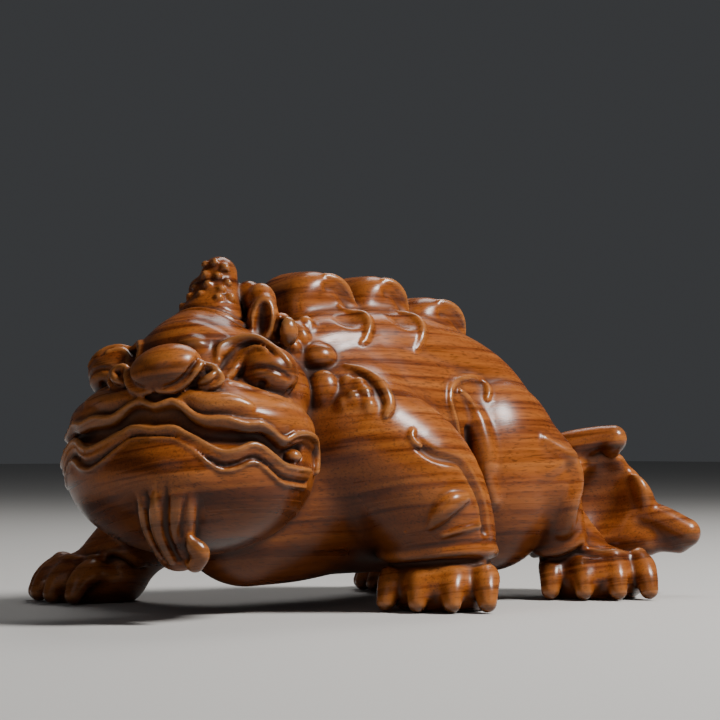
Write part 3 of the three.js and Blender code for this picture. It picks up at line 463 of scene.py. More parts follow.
saddle = [
    [10, -3, 50, 7.5],
    [10, 10, 53.5, 8.2],
    [10, 28, 54, 8.6],
    [9.5, 42, 51.5, 8.5],
    [9, 54, 46.5, 8.5],
    [8, 64, 39, 8],
]
for side in SIDES:
    block.add(limb(WORLD, [[CREST_X + x * side, *rest] for x, *rest in saddle]), 0.8)
scales = ((11.2, 62.2, 9, 8.9), (27.6, 62.2, 7.8, 8.6), (43.6, 58.2, 9, 8.6))
crest = Block((-14, -4, 44), (16, 60, 76))
for y, z, long, tall in scales:
    crest.add(plate(WORLD, (CREST_X, y, z), (tall, long, SCALE_HALF_THICK), (0, 0, 90)), 0.6)
block.merge(crest, 3)
block.hold()
for side in SIDES:
    for scale in scales:
        block.add(stroke(block, WORLD, rear_arc(scale, 7.6 * side, 1.2, 1.4, RIM_RADII), 0), 0.7)
        block.cut(stroke(block, WORLD, rear_arc(scale, 7.8 * side, 3.6, 4, GROOVE_RADII), -0.3), 1.5)
    for y, z, swing in ((15.6, 62.4, 1.4), (30, 62, 1.2)):
        scale_hem = [
            [11.6 * side, y - 1.6, z + 2, 0.4],
            [13.4 * side, y - 0.4, z + 0.8, 0.8],
            [14.4 * side, y + 0.8 * swing, z - 1.6, 1],
            [15.4 * side, y + 0.5 * swing, z - 4.4, 0.9],
            [16 * side, y - 1.2, z - 6.6, 0.6],
            [16.4 * side, y - 3, z - 8, 0.3],
        ]
        block.add(stroke(block, WORLD, scale_hem, 0.1), 1)
        dip = block.settle(np.array([[14.0 * side, y - 3.4, z - 3.5]]), -2)[0]
        block.cut(egg(WORLD, dip, (3, 3.6, 3.6)), 2)

# The head
# A skull with a broad frog-like jaw and a forehead that rises in a cone, turned to the beast's left. The
# right eye is set a little further in than the left. The head is worked in a block of its own first, and
# meets the shoulders in a crisp crease.
HEAD = axes((13, -26, 37), 32)
FACE = axes((1.5, 0, 0), parent=HEAD)
EYE_SIDES = (-0.95, 1)
skull = Block((-24, -58, 4), (48, 12, 76))
forehead = [[0, 0, 12.5, 11], [0, 6.4, 17.2, 8.8], [0.3, 9.6, 23, 6.2], [0.3, 11, 27, 4.6]]
brow_ridge = [
    [9, -6.6, 15, 1.4],
    [11.6, -3.6, 16.4, 1.8],
    [14.8, -2.6, 16.4, 1.8],
    [18.6, -2.6, 14.2, 1.5],
]
eyeballs = [egg(HEAD, (16.3 * side, -1.7, 11.2), (6.1, 6.3, 5.6)) for side in EYE_SIDES]
nose_wings = [egg(FACE, (8.6 * side, -17.2, 9.8), (2.8, 3, 2.6)) for side in SIDES]
head = {
    "crown": (0, egg(HEAD, (0, 9, 7), (20.5, 21, 13))),
    "lower jaw": (3, egg(HEAD, (0, -1.5, -7.5), (24.8, 24.5, 17.3))),
    "upper jaw": (3, egg(HEAD, (0.5, -2, 0.5), (24.6, 21.6, 9.5), (0, -7, 0))),
    "muzzle": (3, egg(HEAD, (1, -10, 6), (13, 11, 6.5))),
    "forehead": (5, limb(HEAD, forehead)),
    "brow ridge": (1, limb(HEAD, brow_ridge)),
    "right eyeball": (1, eyeballs[0]),
    "left eyeball": (1, eyeballs[1]),
    "nose": (0.5, egg(FACE, (0.3, -18.8, 11.2), (7.6, 6.6, 5.2), (0, 0, -18))),
    "right nose wing": (1, nose_wings[0]),
    "left nose wing": (1, nose_wings[1]),
    "knob of the forehead": (1.5, egg(HEAD, (3.2, -8.8, 16.6), (3, 2.4, 1.9))),
    "chin": (3, egg(HEAD, (3.6, -21.6, -8), (8.6, 6, 5.6))),
}
for soft, form in head.values():
    skull.add(form, soft)
skull.hold()

# The eyes
# Smooth bulging eyeballs, each with the line of its lid cut on it and two small pits drilled in it. A
# rolled brow lies over it, an inner lid beside it and a bag of skin below.
CRISP = 0.4


def pit(block, place, point, r, deep=0.1):
    """A small round hollow sunk in the surface."""
    middle = block.settle(placed(place, [point]), deep * r)[0]
    block.cut(egg(WORLD, middle, (r, r, r)), CRISP)


brow = [
    [8.4, -8.8, 13.4, 0.6],
    [8.4, -7.4, 15.6, 0.8],
    [9.4, -5.7, 16.9, 0.9],
    [11.4, -4.2, 17.8, 0.9],
    [14.4, -3.4, 17.9, 0.9],
    [17, -3.6, 16.8, 0.8],
    [19.2, -4, 15, 0.7],
    [21, -3.6, 12.6, 0.5],
]
brow_groove = [
    [9.4, -9.6, 12, 0.5],
    [10.2, -7.4, 14.2, 0.7],
    [11.4, -5.6, 16.1, 0.7],
    [14.2, -4.4, 17, 0.6],
    [17, -4.6, 16.2, 0.5],
    [18.8, -5, 14.6, 0.4],
]
lid = [
    [11.6, -12, 9.6, 0.6],
    [11.6, -8.6, 11.4, 0.8],
    [12, -6, 13.6, 0.8],
    [13, -4.8, 15.2, 0.8],
    [15, -4.4, 15.9, 0.7],
    [17.2, -5, 15, 0.5],
]
lid_groove = [[12.8, -10.4, 9.6, 0.4], [12.8, -8.4, 11.2, 0.5], [13.4, -7, 12.8, 0.4]]
lower_lid = [
    [12.4, -13.2, 9.3, 0.7],
    [13.8, -11.3, 8.6, 0.9],
    [15.4, -9.4, 7.8, 0.9],
    [17.2, -8.6, 7, 0.9],
    [19, -7, 6.4, 0.8],
    [21, -4, 6, 0.7],
    [22.2, 0, 6.6, 0.6],
]
eye_fold = [[14.6, -7, 11.8, 0.4], [16.6, -6.3, 12, 0.5], [19, -5.4, 11.6, 0.5], [20.8, -3.8, 10.4, 0.4]]
for side in EYE_SIDES:
    for rows in (brow_groove, lid_groove, eye_fold):
        skull.cut(stroke(skull, HEAD, sided(rows, side), 0.1), CRISP)
    for sink, rows in ((0, brow), (0, lid), (0.3, lower_lid)):
        skull.add(stroke(skull, HEAD, sided(rows, side), sink), 0.5)
    pit(skull, HEAD, (17.2 * side, -7, 9.2), 0.8)
    pit(skull, HEAD, (21 * side, -2.2, 8), 0.8)

# The nose
# A smooth bulb over the lip, cut off from the forehead by a groove, with folded nostril wings, fine wavy
# hairs beside them and a soft roll out over each cheek.
bridge = [
    [-2, -17, 15.8, 0.6],
    [2, -17, 16.2, 0.8],
    [5, -17.4, 15.8, 0.8],
    [7.4, -16.8, 14.4, 0.8],
    [9, -14.6, 13.8, 0.6],
]
nostril = [[0.7, -23.4, 6.4, 0.4], [3.6, -22.8, 6.6, 0.5], [6, -21.8, 7.4, 0.5], [7.8, -20.6, 7.2, 0.5]]
wing = [
    [0.7, -23.6, 7.5, 0.5],
    [2.3, -23, 7.3, 0.6],
    [3.8, -22.3, 7.5, 0.7],
    [5.3, -21.8, 8.4, 0.7],
    [6.6, -21.4, 9.9, 0.7],
    [7.4, -20.8, 11.4, 0.8],
    [8, -19.6, 12.7, 0.8],
    [9, -19, 13, 0.8],
    [10.2, -18.8, 12.4, 0.8],
    [11.4, -18.6, 11, 0.8],
    [11.8, -18.3, 9.7, 0.8],
    [11, -19.3, 8.4, 0.7],
    [9.6, -20.2, 8, 0.6],
    [8, -20.6, 7.9, 0.5],
]
wing_fold = [
    [7.8, -20.5, 8.8, 0.5],
    [9.2, -20.9, 9.5, 0.8],
    [10.2, -20.4, 10.3, 0.8],
    [10.6, -19.4, 11, 0.6],
]
wing_groove = [
    [2, -23, 8.7, 0.4],
    [4, -22.6, 9.3, 0.5],
    [5.5, -22, 10.6, 0.6],
    [6.3, -21.2, 12, 0.6],
    [6.8, -20, 13.2, 0.5],
]
lobe_groove = [[8.4, -20.6, 9.6, 0.4], [9.2, -20, 10.8, 0.6], [9.4, -19.4, 11.9, 0.5]]
upper_wave = [
    [6, -21.4, 6.8, 0.4],
    [7.4, -20.6, 7.5, 0.5],
    [9, -19.6, 6.9, 0.5],
    [10.6, -18.6, 7.3, 0.5],
    [12, -17, 7, 0.4],
]
lower_wave = [
    [6.9, -21.4, 6, 0.4],
    [8.6, -20.6, 6.5, 0.5],
    [10.2, -19.6, 6, 0.5],
    [12, -18, 6.5, 0.5],
    [13.6, -16.4, 7, 0.4],
]
roll = [
    [5, -21.6, 6, 1],
    [6.5, -20.8, 6.3, 1.7],
    [8.7, -20.4, 5.6, 2.1],
    [10.7, -19.5, 5.4, 2.2],
    [12.4, -18.2, 5.4, 2.1],
    [14.1, -17.1, 5.2, 1.8],
    [16, -16, 4.6, 1.2],
]
roll_groove = [
    [5.8, -23, 4.6, 0.5],
    [9.6, -21.8, 3.6, 0.6],
    [14.4, -19, 3, 0.6],
    [18.6, -15.4, 2.2, 0.6],
    [20.4, -13, 1, 0.5],
]
for side in SIDES:
    for sink, rows in ((0, bridge), (0, nostril), (0, wing_groove), (0, lobe_groove), (-0.6, roll_groove)):
        skull.cut(stroke(skull, FACE, sided(rows, side), sink), CRISP)
    skull.add(stroke(skull, FACE, sided(roll, side), 0.25), 0.8)
    for sink, rows in ((-0.2, wing), (-0.2, wing_fold), (0, upper_wave), (0, lower_wave)):
        skull.add(stroke(skull, FACE, sided(rows, side), sink), CRISP)

# The mouth
# Two wavy lips that droop to the corners, each a soft band with a crisp upper edge, parted by a narrow
# hollow. A fine line is cut under the lower lip, and the chin has a thin edge of its own below it.
upper_edge = [
    [0, -23.4, 4.6, 0.6],
    [1.6, -23, 5, 0.7],
    [3.1, -22.6, 5.5, 0.7],
    [4.7, -22.5, 4.8, 0.7],
    [6.4, -22.5, 3.7, 0.7],
    [7.9, -22.3, 2.7, 0.7],
    [9.7, -21.7, 2.2, 0.7],
    [13, -19.9, 2.2, 0.7],
    [16.2, -17.6, 1.2, 0.7],
    [18.3, -15.4, 1.3, 0.7],
    [19.8, -13.5, 0.1, 0.7],
    [20.6, -11.8, -1.1, 0.7],
    [21.4, -10.1, -1.7, 0.7],
    [22.5, -7.6, -0.7, 0.7],
    [23.6, -3.7, -0.7, 0.8],
    [24.2, 1, -2, 0.9],
    [24.2, 3.6, -5, 0.9],
    [23.6, 2.6, -8, 0.8],
]
upper_lip = [
    [0, -23.8, 4.4, 0.3],
    [3.3, -23.2, 5.2, 0.35],
    [5.3, -23, 4.3, 0.45],
    [7.2, -22.8, 2.6, 0.6],
    [9.4, -22, 1.6, 0.8],
    [13.4, -19.9, 1.2, 0.95],
    [16.5, -17.3, 0.3, 0.95],
    [18.4, -15.2, 0.4, 0.95],
    [19.9, -12.9, -0.9, 0.9],
    [21.1, -10.6, -2.4, 0.9],
    [22.5, -7.2, -1.9, 0.9],
    [23.4, -3.7, -1.9, 0.9],
    [23.8, 1, -3.4, 0.8],
]
parting = [
    [0, -24.2, 2.5, 1.4],
    [3.5, -23.5, 2.9, 1.7],
    [5.4, -23.2, 1.9, 1.7],
    [7.3, -22.8, 0.3, 1.6],
    [9.4, -22, -0.7, 1.5],
    [11.5, -21, -1.2, 1.5],
    [15.3, -18.2, -1.5, 1.4],
    [18.5, -14.9, -1.5, 1.2],
    [20.6, -11.8, -3.8, 1.2],
    [21.8, -9.6, -4.8, 1.5],
    [22.8, -6, -4.4, 1.7],
]
lower_edge = [
    [0, -24.6, 0.3, 0.5],
    [4, -23.8, 0.5, 0.6],
    [6.1, -23.5, -0.5, 0.6],
    [8.1, -23.1, -1.7, 0.7],
    [9.9, -22.6, -2.8, 0.7],
    [11.6, -21.8, -3.7, 0.7],
    [13.3, -20.8, -4.2, 0.7],
    [15.2, -19.2, -3.8, 0.7],
    [17, -17, -2.8, 0.7],
    [18.5, -15.4, -3.2, 0.7],
    [20, -13.4, -4.9, 0.7],
    [21.6, -10.9, -6.7, 0.7],
    [22.8, -6.4, -7.4, 0.7],
    [23.4, -2, -7.8, 0.6],
]


def lowered(rows, least, most, r):
    """The same line moved down, by least in the middle of the mouth and by most at its sides."""
    return [[x, y - 0.3, z - least - (most - least) * min(x / 9, 1), r] for x, y, z, _ in rows]


lower_lip = lowered(lower_edge, 0.3, 1.1, 0.8)
under_line = lowered(lower_edge, 1.2, 2.5, 0.45)
chin_edge = lowered(lower_edge, 1.9, 3.4, 0.5)
lips = ((0.3, upper_lip), (-0.5, upper_edge), (0.3, lower_lip), (-0.5, lower_edge), (0, chin_edge))
for side in SIDES:
    for rows in (parting, under_line):
        skull.cut(stroke(skull, FACE, sided(rows, side), 0), CRISP)
    for sink, rows in lips:
        skull.add(stroke(skull, FACE, sided(rows, side), sink), CRISP)
    pit(skull, FACE, (22.6 * side, -5.6, -3.8), 1.3, 0)
    corner = skull.settle(placed(FACE, [(22 * side, -7, -5)]), 0.7)[0]
    skull.add(egg(WORLD, corner, (2, 2, 1.5)), CRISP)

# The top-knot and the ears
# A short upright tuft covered in small curls, with larger ones at its back and sides and two wrinkles cut
# round the forehead below it. Each ear is a cupped leaf with a smaller one at its foot: the left ear
# stands up and the right one is laid back.
EARS = ((1, (11, 9.5, 22)), (-1, (-16.5, 13, 11.5)))
WRINKLES = ((11.2, 22.4, 6.4), (10.2, 20.6, 7.6))
CURL_TALL = 1.3
tuft = [[0.5, 12, 18, 5.2], [0.4, 12, 24, 4.6], [0.3, 12, 29, 4.2], [0.6, 12.2, 32, 3.7]]
skull.add(limb(HEAD, tuft), 1.5)
knobs = [
    [-3.4, 11, 28.6, 2.1],
    [-3.2, 10.6, 25, 2.2],
    [9.4, 13, 26, 3.2],
    [6, 15, 26.4, 3.4],
    [16, 10, 20, 2.4],
    [-1, 17, 27, 3],
]
for x, y, z, r in knobs:
    skull.add(egg(HEAD, (x, y, z), (r, r, r * CURL_TALL)), 1)
for side, spot in EARS:
    ear = axes(spot, 18 * side, -8, 6 * side, HEAD)
    skull.add(egg(ear, (0, 0.5, 0), (3.3, 3.2, 6)), 0.8)
    skull.cut(egg(ear, (0, -3, 0.2), (1.9, 2.6, 4.4)), 0.5)
    skull.add(egg(ear, (3.8, 2.4, -1.4), (2.6, 2.8, 4.2)), 0.6)
    skull.cut(egg(ear, (3.9, -0.6, -1.2), (1.4, 2, 2.8)), CRISP)
skull.hold()
small_curls = [
    [-1.6, 9.6, 34, 0.9],
    [0.8, 9, 34.6, 0.9],
    [3, 9.4, 33.2, 1],
    [-0.8, 8.6, 31.6, 1],
    [1.8, 8.4, 31.4, 0.8],
    [3.8, 9, 30, 0.9],
    [-2.9, 8.6, 29.2, 0.9],
    [0.2, 8, 29, 1],
    [2.4, 8, 28, 0.9],
    [4.4, 8, 26.6, 1],
    [-2.8, 8, 26.4, 1],
    [-0.4, 7.4, 26, 0.8],
    [2, 7, 25.2, 1],
    [-3.4, 7.4, 23.8, 0.9],
]
for x, y, z, r in small_curls:
    middle = skull.settle(placed(HEAD, [(x, y, z)]), 0)[0]
    skull.add(egg(WORLD, middle, (r, r, r)), 0.5)
for y, z, r in WRINKLES:
    angles = np.linspace(-1.2, 1.1, 7)
    wrinkle = [[r * math.sin(a), y - r * math.cos(a), z - abs(a), 0.5] for a in angles]
    skull.cut(stroke(skull, HEAD, wrinkle, 0), 0.5)

# The beard
# One flat tongue of hair that hangs from the chin and leans back under it. Three cuts part it into locks,
# two of them are raised, and one more is hooked out to the side at its tip.
BEARD_WIDTH = 1.42
tongue = [[4.6, -22.8, -11, 4], [4, -22.5, -15, 3.9], [3.1, -19.2, -20, 3.5], [3.8, -16.8, -24, 3]]
skull.add(limb(HEAD, tongue, BEARD_WIDTH), 0.6)
hook = [[6.4, -21.4, -19.4, 1.3], [7.6, -20.8, -21.4, 1.7], [9.3, -19.9, -23.2, 2], [8, -18.8, -25.2, 1.9]]
skull.add(limb(HEAD, hook), 0.5)
skull.hold()
cuts = [
    [[0.9, -27, -11.6, 0.2], [0.5, -27, -15, 1], [0.4, -24.6, -20.5, 1.1], [1.6, -21, -25.6, 0.8]],
    [[5.4, -26.6, -9.6, 0.2], [5.2, -26.6, -14, 0.8], [4.2, -24, -20.5, 0.8], [5, -20.4, -25.4, 0.6]],
    [[9, -25.4, -12, 0.2], [8.2, -25.2, -15, 0.6], [7, -23, -20, 0.7], [6.9, -20.4, -24.4, 0.7]],
]
locks = [
    [[-0.8, -26, -12, 0.2], [-1.2, -26, -15, 0.8], [-0.8, -23.6, -20, 0.8], [1, -20.6, -24.6, 0.7]],
    [[3.4, -26.4, -9.4, 0.2], [3, -26.4, -14, 1.1], [2.4, -24, -20.5, 1.1], [3.4, -20.4, -25.4, 0.9]],
]
for rows in cuts:
    skull.cut(stroke(skull, HEAD, rows, 0), CRISP)
for rows in locks:
    skull.add(stroke(skull, HEAD, rows, 0.2), CRISP)
block.merge(skull, 1)
block.hold()

# The mane
# Round curls behind the cheeks and over the nape. The turned head bunches them on the left, where a
# curved hem closes them over the shoulder.
curls = [
    [19.4, 20.5, 15.4, 4.1, 0.8],
    [21.6, 16.2, 8, 3.6, 1.4],
    [13.6, 21, 19, 3, 1],
    [8, 22, 20, 3.4, 1],
    [2, 22, 20, 3.6, 1],
]
for x, y, z, r, tall in sided(curls, -1) + curls:
    middle = block.settle(placed(HEAD, [(x, y, z)]), 0.35 * r)[0]
    block.add(egg(WORLD, middle, (r, r, r * tall)), 0.5)
bunched = [
    [16.8, -1.4, 56.5, 2],
    [17.2, -4, 54, 1.7],
    [14, 1.6, 58, 2.2],
    [26, 2.8, 47.4, 1.7],
    [27.8, 4.6, 46.8, 1.5],
    [29.4, 1.6, 43.9, 1.7],
    [30, 4.4, 44.8, 1.6],
    [31.8, 4, 42.2, 1.5],
    [28, 0.2, 42.4, 1.4],
]
for x, y, z, r in bunched:
    middle = block.settle(np.array([[x, y, z]]), 0.4 * r)[0]
    block.add(egg(WORLD, middle, (r, r, CURL_TALL * r)), 0.9)
hem = [
    [21.8, 5.8, 50, 0.5],
    [22.9, 6.7, 49.6, 0.9],
    [24.9, 7.8, 48.8, 1.3],
    [28, 8.6, 47, 1.5],
    [30.7, 8.8, 44.6, 1.5],
    [32.2, 8.6, 42.4, 1.3],
    [32.8, 7.2, 40, 0.8],
]
block.add(stroke(block, WORLD, hem, 0), 0.3)

# The carved surface
# The knife marks are scraped and sanded off and the soles are sawn flat, so the whole beast has one
# smooth skin that is a little rounder at every edge. MIDDLE is the place in the block where the finished
# piece has its origin.
TRIANGLES = 190000
MIDDLE = np.array([-4.17425, 27.5514, 0])
MM = 0.001
METRE = 1000
SOLE_LEVEL = 1e-3
SANDINGS = 2
SANDING_SHARE = 0.5
GIVEN_BACK = 1.04
heights = block.low[2] + CELL * np.arange(block.field.shape[2])
block.field = np.maximum(block.field, -heights.astype(np.float32))


def skin(field):
    """Surface nets: a point in each cell that the surface crosses, at the mean of the places where it
    crosses the cell's edges, and a four-sided face round each lattice edge that it crosses."""
    solid = field < 0
    count = np.zeros(np.array(field.shape) - 1, np.uint8)
    for corner in np.ndindex(2, 2, 2):
        count += solid[tuple(slice(c, c + n) for c, n in zip(corner, count.shape))]
    crossed = (count > 0) & (count < 8)
    cells = np.argwhere(crossed)
    number = np.full(count.shape, -1, np.int32)
    number[crossed] = np.arange(len(cells))
    total = np.zeros((len(cells), 3))
    times = np.zeros(len(cells))
    steps = np.eye(3, dtype=int)
    faces = []
    for axis in range(3):
        u, v = steps[(axis + 1) % 3], steps[(axis + 2) % 3]
        for a in (cells, cells + u, cells + v, cells + u + v):
            here, there = field[tuple(a.T)], field[tuple((a + steps[axis]).T)]
            cross = (here < 0) != (there < 0)
            share = np.where(cross, here / np.where(cross, here - there, 1), 0)
            total += (a + share[:, None] * steps[axis]) * cross[:, None]
            times += cross
        near = solid[tuple(slice(None, -1) if i == axis else slice(1, -1) for i in range(3))]
        beyond = solid[tuple(slice(1, None) if i == axis else slice(1, -1) for i in range(3))]
        for way, edges in ((1, near & ~beyond), (-1, ~near & beyond)):
            p = np.argwhere(edges) + u + v
            ring = [number[tuple(q.T)] for q in (p - u - v, p - v, p, p - u)]
            faces.append(np.stack(ring[::way], axis=1))
    return total / times[:, None], np.concatenate(faces)


def largest(points, faces):
    """Keeps the one shell that holds the most points: each point takes the lowest number next to it
    until none changes."""
    label = np.arange(len(points))
    while True:
        before = label.copy()
        np.minimum.at(label, faces, label[faces].min(1)[:, None])
        label = label[label]
        if (label == before).all():
            break
    kept = label == np.bincount(label).argmax()
    place = np.cumsum(kept) - 1
    return points[kept], place[faces[kept[faces[:, 0]]]]


def sanded(points, faces):
    """Moves each point part of the way to the mean of its neighbours, and back by a little more, so that
    the surface gets smoother and doesn't shrink. The soles stay where they are."""
    pairs = np.concatenate([faces[:, [i, (i + 1) % 4]] for i in range(4)])
    a, b = np.unique(np.sort(pairs, axis=1), axis=0).T
    n = len(points)
    ways = np.bincount(a, minlength=n) + np.bincount(b, minlength=n)
    flat = points[:, 2] < SOLE_LEVEL
    for _ in range(SANDINGS):
        for part in (SANDING_SHARE, -SANDING_SHARE * GIVEN_BACK):
            sums = [np.bincount(a, points[b, i], n) + np.bincount(b, points[a, i], n) for i in range(3)]
            mean = np.stack(sums, axis=1) / ways[:, None]
            points = points + part * (mean - points)
        points[flat, 2] = 0
    return points


def mesh_of(name, points, faces):
    """A mesh of four-sided faces, from an array of points and one of each face's four point numbers."""
    mesh = bpy.data.meshes.new(name)
    mesh.vertices.add(len(points))
    mesh.vertices.foreach_set("co", points.astype(np.float32).ravel())
    mesh.loops.add(faces.size)
    mesh.loops.foreach_set("vertex_index", faces.astype(np.int32).ravel())
    mesh.polygons.add(len(faces))
    mesh.polygons.foreach_set("loop_start", np.arange(0, faces.size, faces.shape[1], dtype=np.int32))
    mesh.update(calc_edges=True)
    mesh.validate()
    return mesh


points, faces = largest(*skin(block.field))
points = sanded(block.low + CELL * points, faces)
rough_mesh = mesh_of("pixiu_in_the_rough", (points - MIDDLE) * MM, faces)
rough = bpy.data.objects.new("pixiu_in_the_rough", rough_mesh)
bpy.context.scene.collection.objects.link(rough)
thin = rough.modifiers.new("thin", "DECIMATE")
thin.ratio = min(TRIANGLES / (2 * len(faces)), 1)
bpy.context.view_layer.update()
carved = bpy.data.meshes.new_from_object(rough.evaluated_get(bpy.context.evaluated_depsgraph_get()))
carved.name = "pixiu"
bpy.data.objects.remove(rough)
pixiu = bpy.data.objects.new("pixiu", carved)
bpy.context.scene.collection.objects.link(pixiu)
carved.polygons.foreach_set("use_smooth", np.ones(len(carved.polygons), bool))
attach(pixiu, "root")
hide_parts("pixiu_figure")


def blurred(values, reach):
    """Two running means along each axis, each over reach either way: the running total at one end less the
    one at the other, over the number of nodes between."""
    k = max(round(reach / CELL), 1)
    for axis in (0, 1, 2, 0, 1, 2):
        ends = [(k + 1, k) if i == axis else (0, 0) for i in range(3)]
        total = np.cumsum(np.pad(values, ends, mode="edge"), axis=axis)
        far = total.take(range(2 * k + 1, total.shape[axis]), axis)
        values = (far - total.take(range(0, total.shape[axis] - 2 * k - 1), axis)) / (2 * k + 1)
    return values


def marked(name, reach):
    """An attribute that is above zero where the surface stands out and below where it is hollow: the mean
    of the distance round each point, held within reach, as a share of reach."""
    lattice = Block(BLOCK_LOW, BLOCK_HIGH)
    lattice.ground = blurred(np.clip(block.field, -reach, reach), reach)
    at = np.empty(len(carved.vertices) * 3, np.float32)
    carved.vertices.foreach_get("co", at)
    value = lattice.value(at.reshape(-1, 3) * METRE + MIDDLE) / reach
    carved.attributes.new(name, "FLOAT", "POINT").data.foreach_set("value", value.astype(np.float32))


marked("fine_relief", 0.8)
marked("broad_relief", 4)
normals = np.empty(len(carved.vertices) * 3, np.float32)
carved.vertices.foreach_get("normal", normals)
carved.attributes.new("faces_down", "FLOAT", "POINT").data.foreach_set("value", -normals[2::3])

# The rosewood
# Rosewood, oiled and waxed. Its dark rings lie nearly level in the block and run along the body, with pores
# as short dark dashes that turn to specks on the end grain. The raised edges are lighter, partly from wear
# by handling and partly a painted highlight. Painted shade darkens the cuts, the sheltered places and the
# underside, and wax and dust have dulled the cuts and the sheltered places.
LOG_TILT = (0, math.radians(-11.5), 0)
BLACK = (0, 0, 0)
WHITE = (1, 1, 1)
# Lighter wood on raised edges: partly wear from handling, partly a painted highlight.
WORN_AND_HIGHLIT_WOOD = (0.52, 0.23, 0.07)
# Near black in the cuts: painted shade.
CUT_SHADE = (0.018, 0.006, 0.003)
# Darker tint in the broad hollows: painted shade.
RECESS_SHADE = (0.3, 0.2, 0.15)
# Darker tint on faces that look down: painted shade.
UNDERSIDE_SHADE = (0.28, 0.24, 0.22)
MIX_SOCKETS = {"share": 0, "a": 6, "b": 7}
MIX_RESULT = 2
rosewood = bpy.data.materials.new("carved_rosewood")
rosewood.use_nodes = True
tree = rosewood.node_tree
shader = tree.nodes["Principled BSDF"]


def node(kind, label, **settings):
    """A new node of the wood's material, with its label and settings."""
    made = tree.nodes.new("ShaderNode" + kind)
    made.label = label
    for key, value in settings.items():
        setattr(made, key, value)
    return made


def join(source, target):
    """A link from one socket to another."""
    tree.links.new(source, target)


def number_of(operation, label, a, b=None, c=None):
    """One step of arithmetic on plain numbers or sockets."""
    step = node("Math", label, operation=operation)
    for socket, value in zip(step.inputs, (a, b, c)):
        if isinstance(value, bpy.types.NodeSocket):
            join(value, socket)
        elif value is not None:
            socket.default_value = value
    return step.outputs[0]


def stretched(label, *wave):
    """Object coordinates along the tilted log, as a share of a wave so many millimetres long each way."""
    mapping = node("Mapping", label, vector_type="TEXTURE")
    mapping.inputs["Scale"].default_value = [MM * v for v in wave]
    mapping.inputs["Rotation"].default_value = LOG_TILT
    join(coordinates.outputs["Object"], mapping.inputs["Vector"])
    return mapping.outputs["Vector"]


def noise(label, place, detail, rough=0.5, distortion=0):
    """Cloudy values from 0 to 1 at a place, about one cloud to each unit of it."""
    made = node("TexNoise", label)
    join(place, made.inputs["Vector"])
    made.inputs["Scale"].default_value = 1
    made.inputs["Detail"].default_value = detail
    made.inputs["Roughness"].default_value = rough
    made.inputs["Distortion"].default_value = distortion
    return made.outputs["Fac"]


def ramp(label, value, stops):
    """A colour that goes in straight steps from stop to stop as the value rises."""
    made = node("ValToRGB", label)
    elements = made.color_ramp.elements
    while len(elements) < len(stops):
        elements.new(0.5)
    for element, (place, colour) in zip(elements, stops):
        element.position = place
        element.color = (*colour, 1)
    join(value, made.inputs["Fac"])
    return made.outputs["Color"]


def rising(label, value, start, full):
    """A mask that rises from black at one value to white at another."""
    return ramp(label, value, ((start, BLACK), (full, WHITE)))


def attribute(name):
    """The value that the mesh carries under this name."""
    return node("Attribute", name.replace("_", " "), attribute_name=name).outputs["Fac"]


def mixed(label, blend, share, a, b):
    """Colour a, with colour b laid over it in the way of the blend, by a share."""
    made = node("Mix", label, data_type="RGBA", blend_type=blend)
    for name, value in (("share", share), ("a", a), ("b", b)):
        socket = made.inputs[MIX_SOCKETS[name]]
        if isinstance(value, bpy.types.NodeSocket):
            join(value, socket)
        else:
            socket.default_value = value if name == "share" else (*value, 1)
    return made.outputs[MIX_RESULT]


coordinates = node("TexCoord", "place in the block")
broad_rings = noise("broad rings", stretched("broad bands", 40, 120, 6), 2, 0.5, 0.3)
fine_rings = noise("fine rings", stretched("narrow bands", 26, 110, 1.8), 2, 0.55, 0.4)
rings = number_of(
    "ADD",
    "rings",
    number_of("MULTIPLY", "broad share", broad_rings, 0.38),
    number_of("MULTIPLY", "fine share", fine_rings, 0.62),
)
figure = ramp("ring colours", rings, (
    (0.34, (0.06, 0.013, 0.003)),
    (0.43, (0.15, 0.035, 0.006)),
    (0.48, (0.23, 0.06, 0.01)),
    (0.56, (0.3, 0.086, 0.015)),
    (0.68, (0.37, 0.12, 0.026)),
))
streaks = noise("streaks", stretched("along the fibre", 0.6, 14, 0.6), 2, 0.6)
streaked = mixed("streaked", "OVERLAY", 0.35, figure, streaks)
pores = noise("pores", stretched("along the pores", 0.3, 3.2, 0.3), 2, 0.5)
pore_mask = ramp("pore mask", pores, ((0.36, (0.1, 0.1, 0.1)), (0.44, WHITE)))
with_pores = mixed("pored", "MULTIPLY", 0.5, streaked, pore_mask)
fine_relief = attribute("fine_relief")
# The raised edges, where the lighter wood is partly wear and partly a painted highlight.
wear_and_highlight = rising("worn edges", fine_relief, 0.06, 0.3)
# The cuts, which take painted shade and a duller finish.
cuts_mask = rising("cut hollows", number_of("MULTIPLY", "depth", fine_relief, -1), 0.02, 0.26)
broad_depth = number_of("MULTIPLY", "broad depth", attribute("broad_relief"), -1)
# The broad hollows, which take painted shade and a duller finish.
shelter = rising("sheltered", broad_depth, 0.02, 0.3)
# Faces that look down, which take painted shade.
facing_down = rising("underside", attribute("faces_down"), 0.05, 0.55)
wear_and_highlight_share = number_of("MULTIPLY", "worn share", wear_and_highlight, 0.34)
recess_shade_share = number_of("MULTIPLY", "shelter share", shelter, 0.6)
underside_shade_share = number_of("MULTIPLY", "underside share", facing_down, 0.85)
cut_shade_share = number_of("MULTIPLY", "cut share", cuts_mask, 0.85)
# Lighter on the raised edges: partly wear, partly painted highlight.
paler_and_highlit = mixed("wear_and_highlight", "MIX", wear_and_highlight_share, with_pores, WORN_AND_HIGHLIT_WOOD)
# Painted shade in the broad hollows.
sheltered = mixed("darker low", "MULTIPLY", recess_shade_share, paler_and_highlit, RECESS_SHADE)
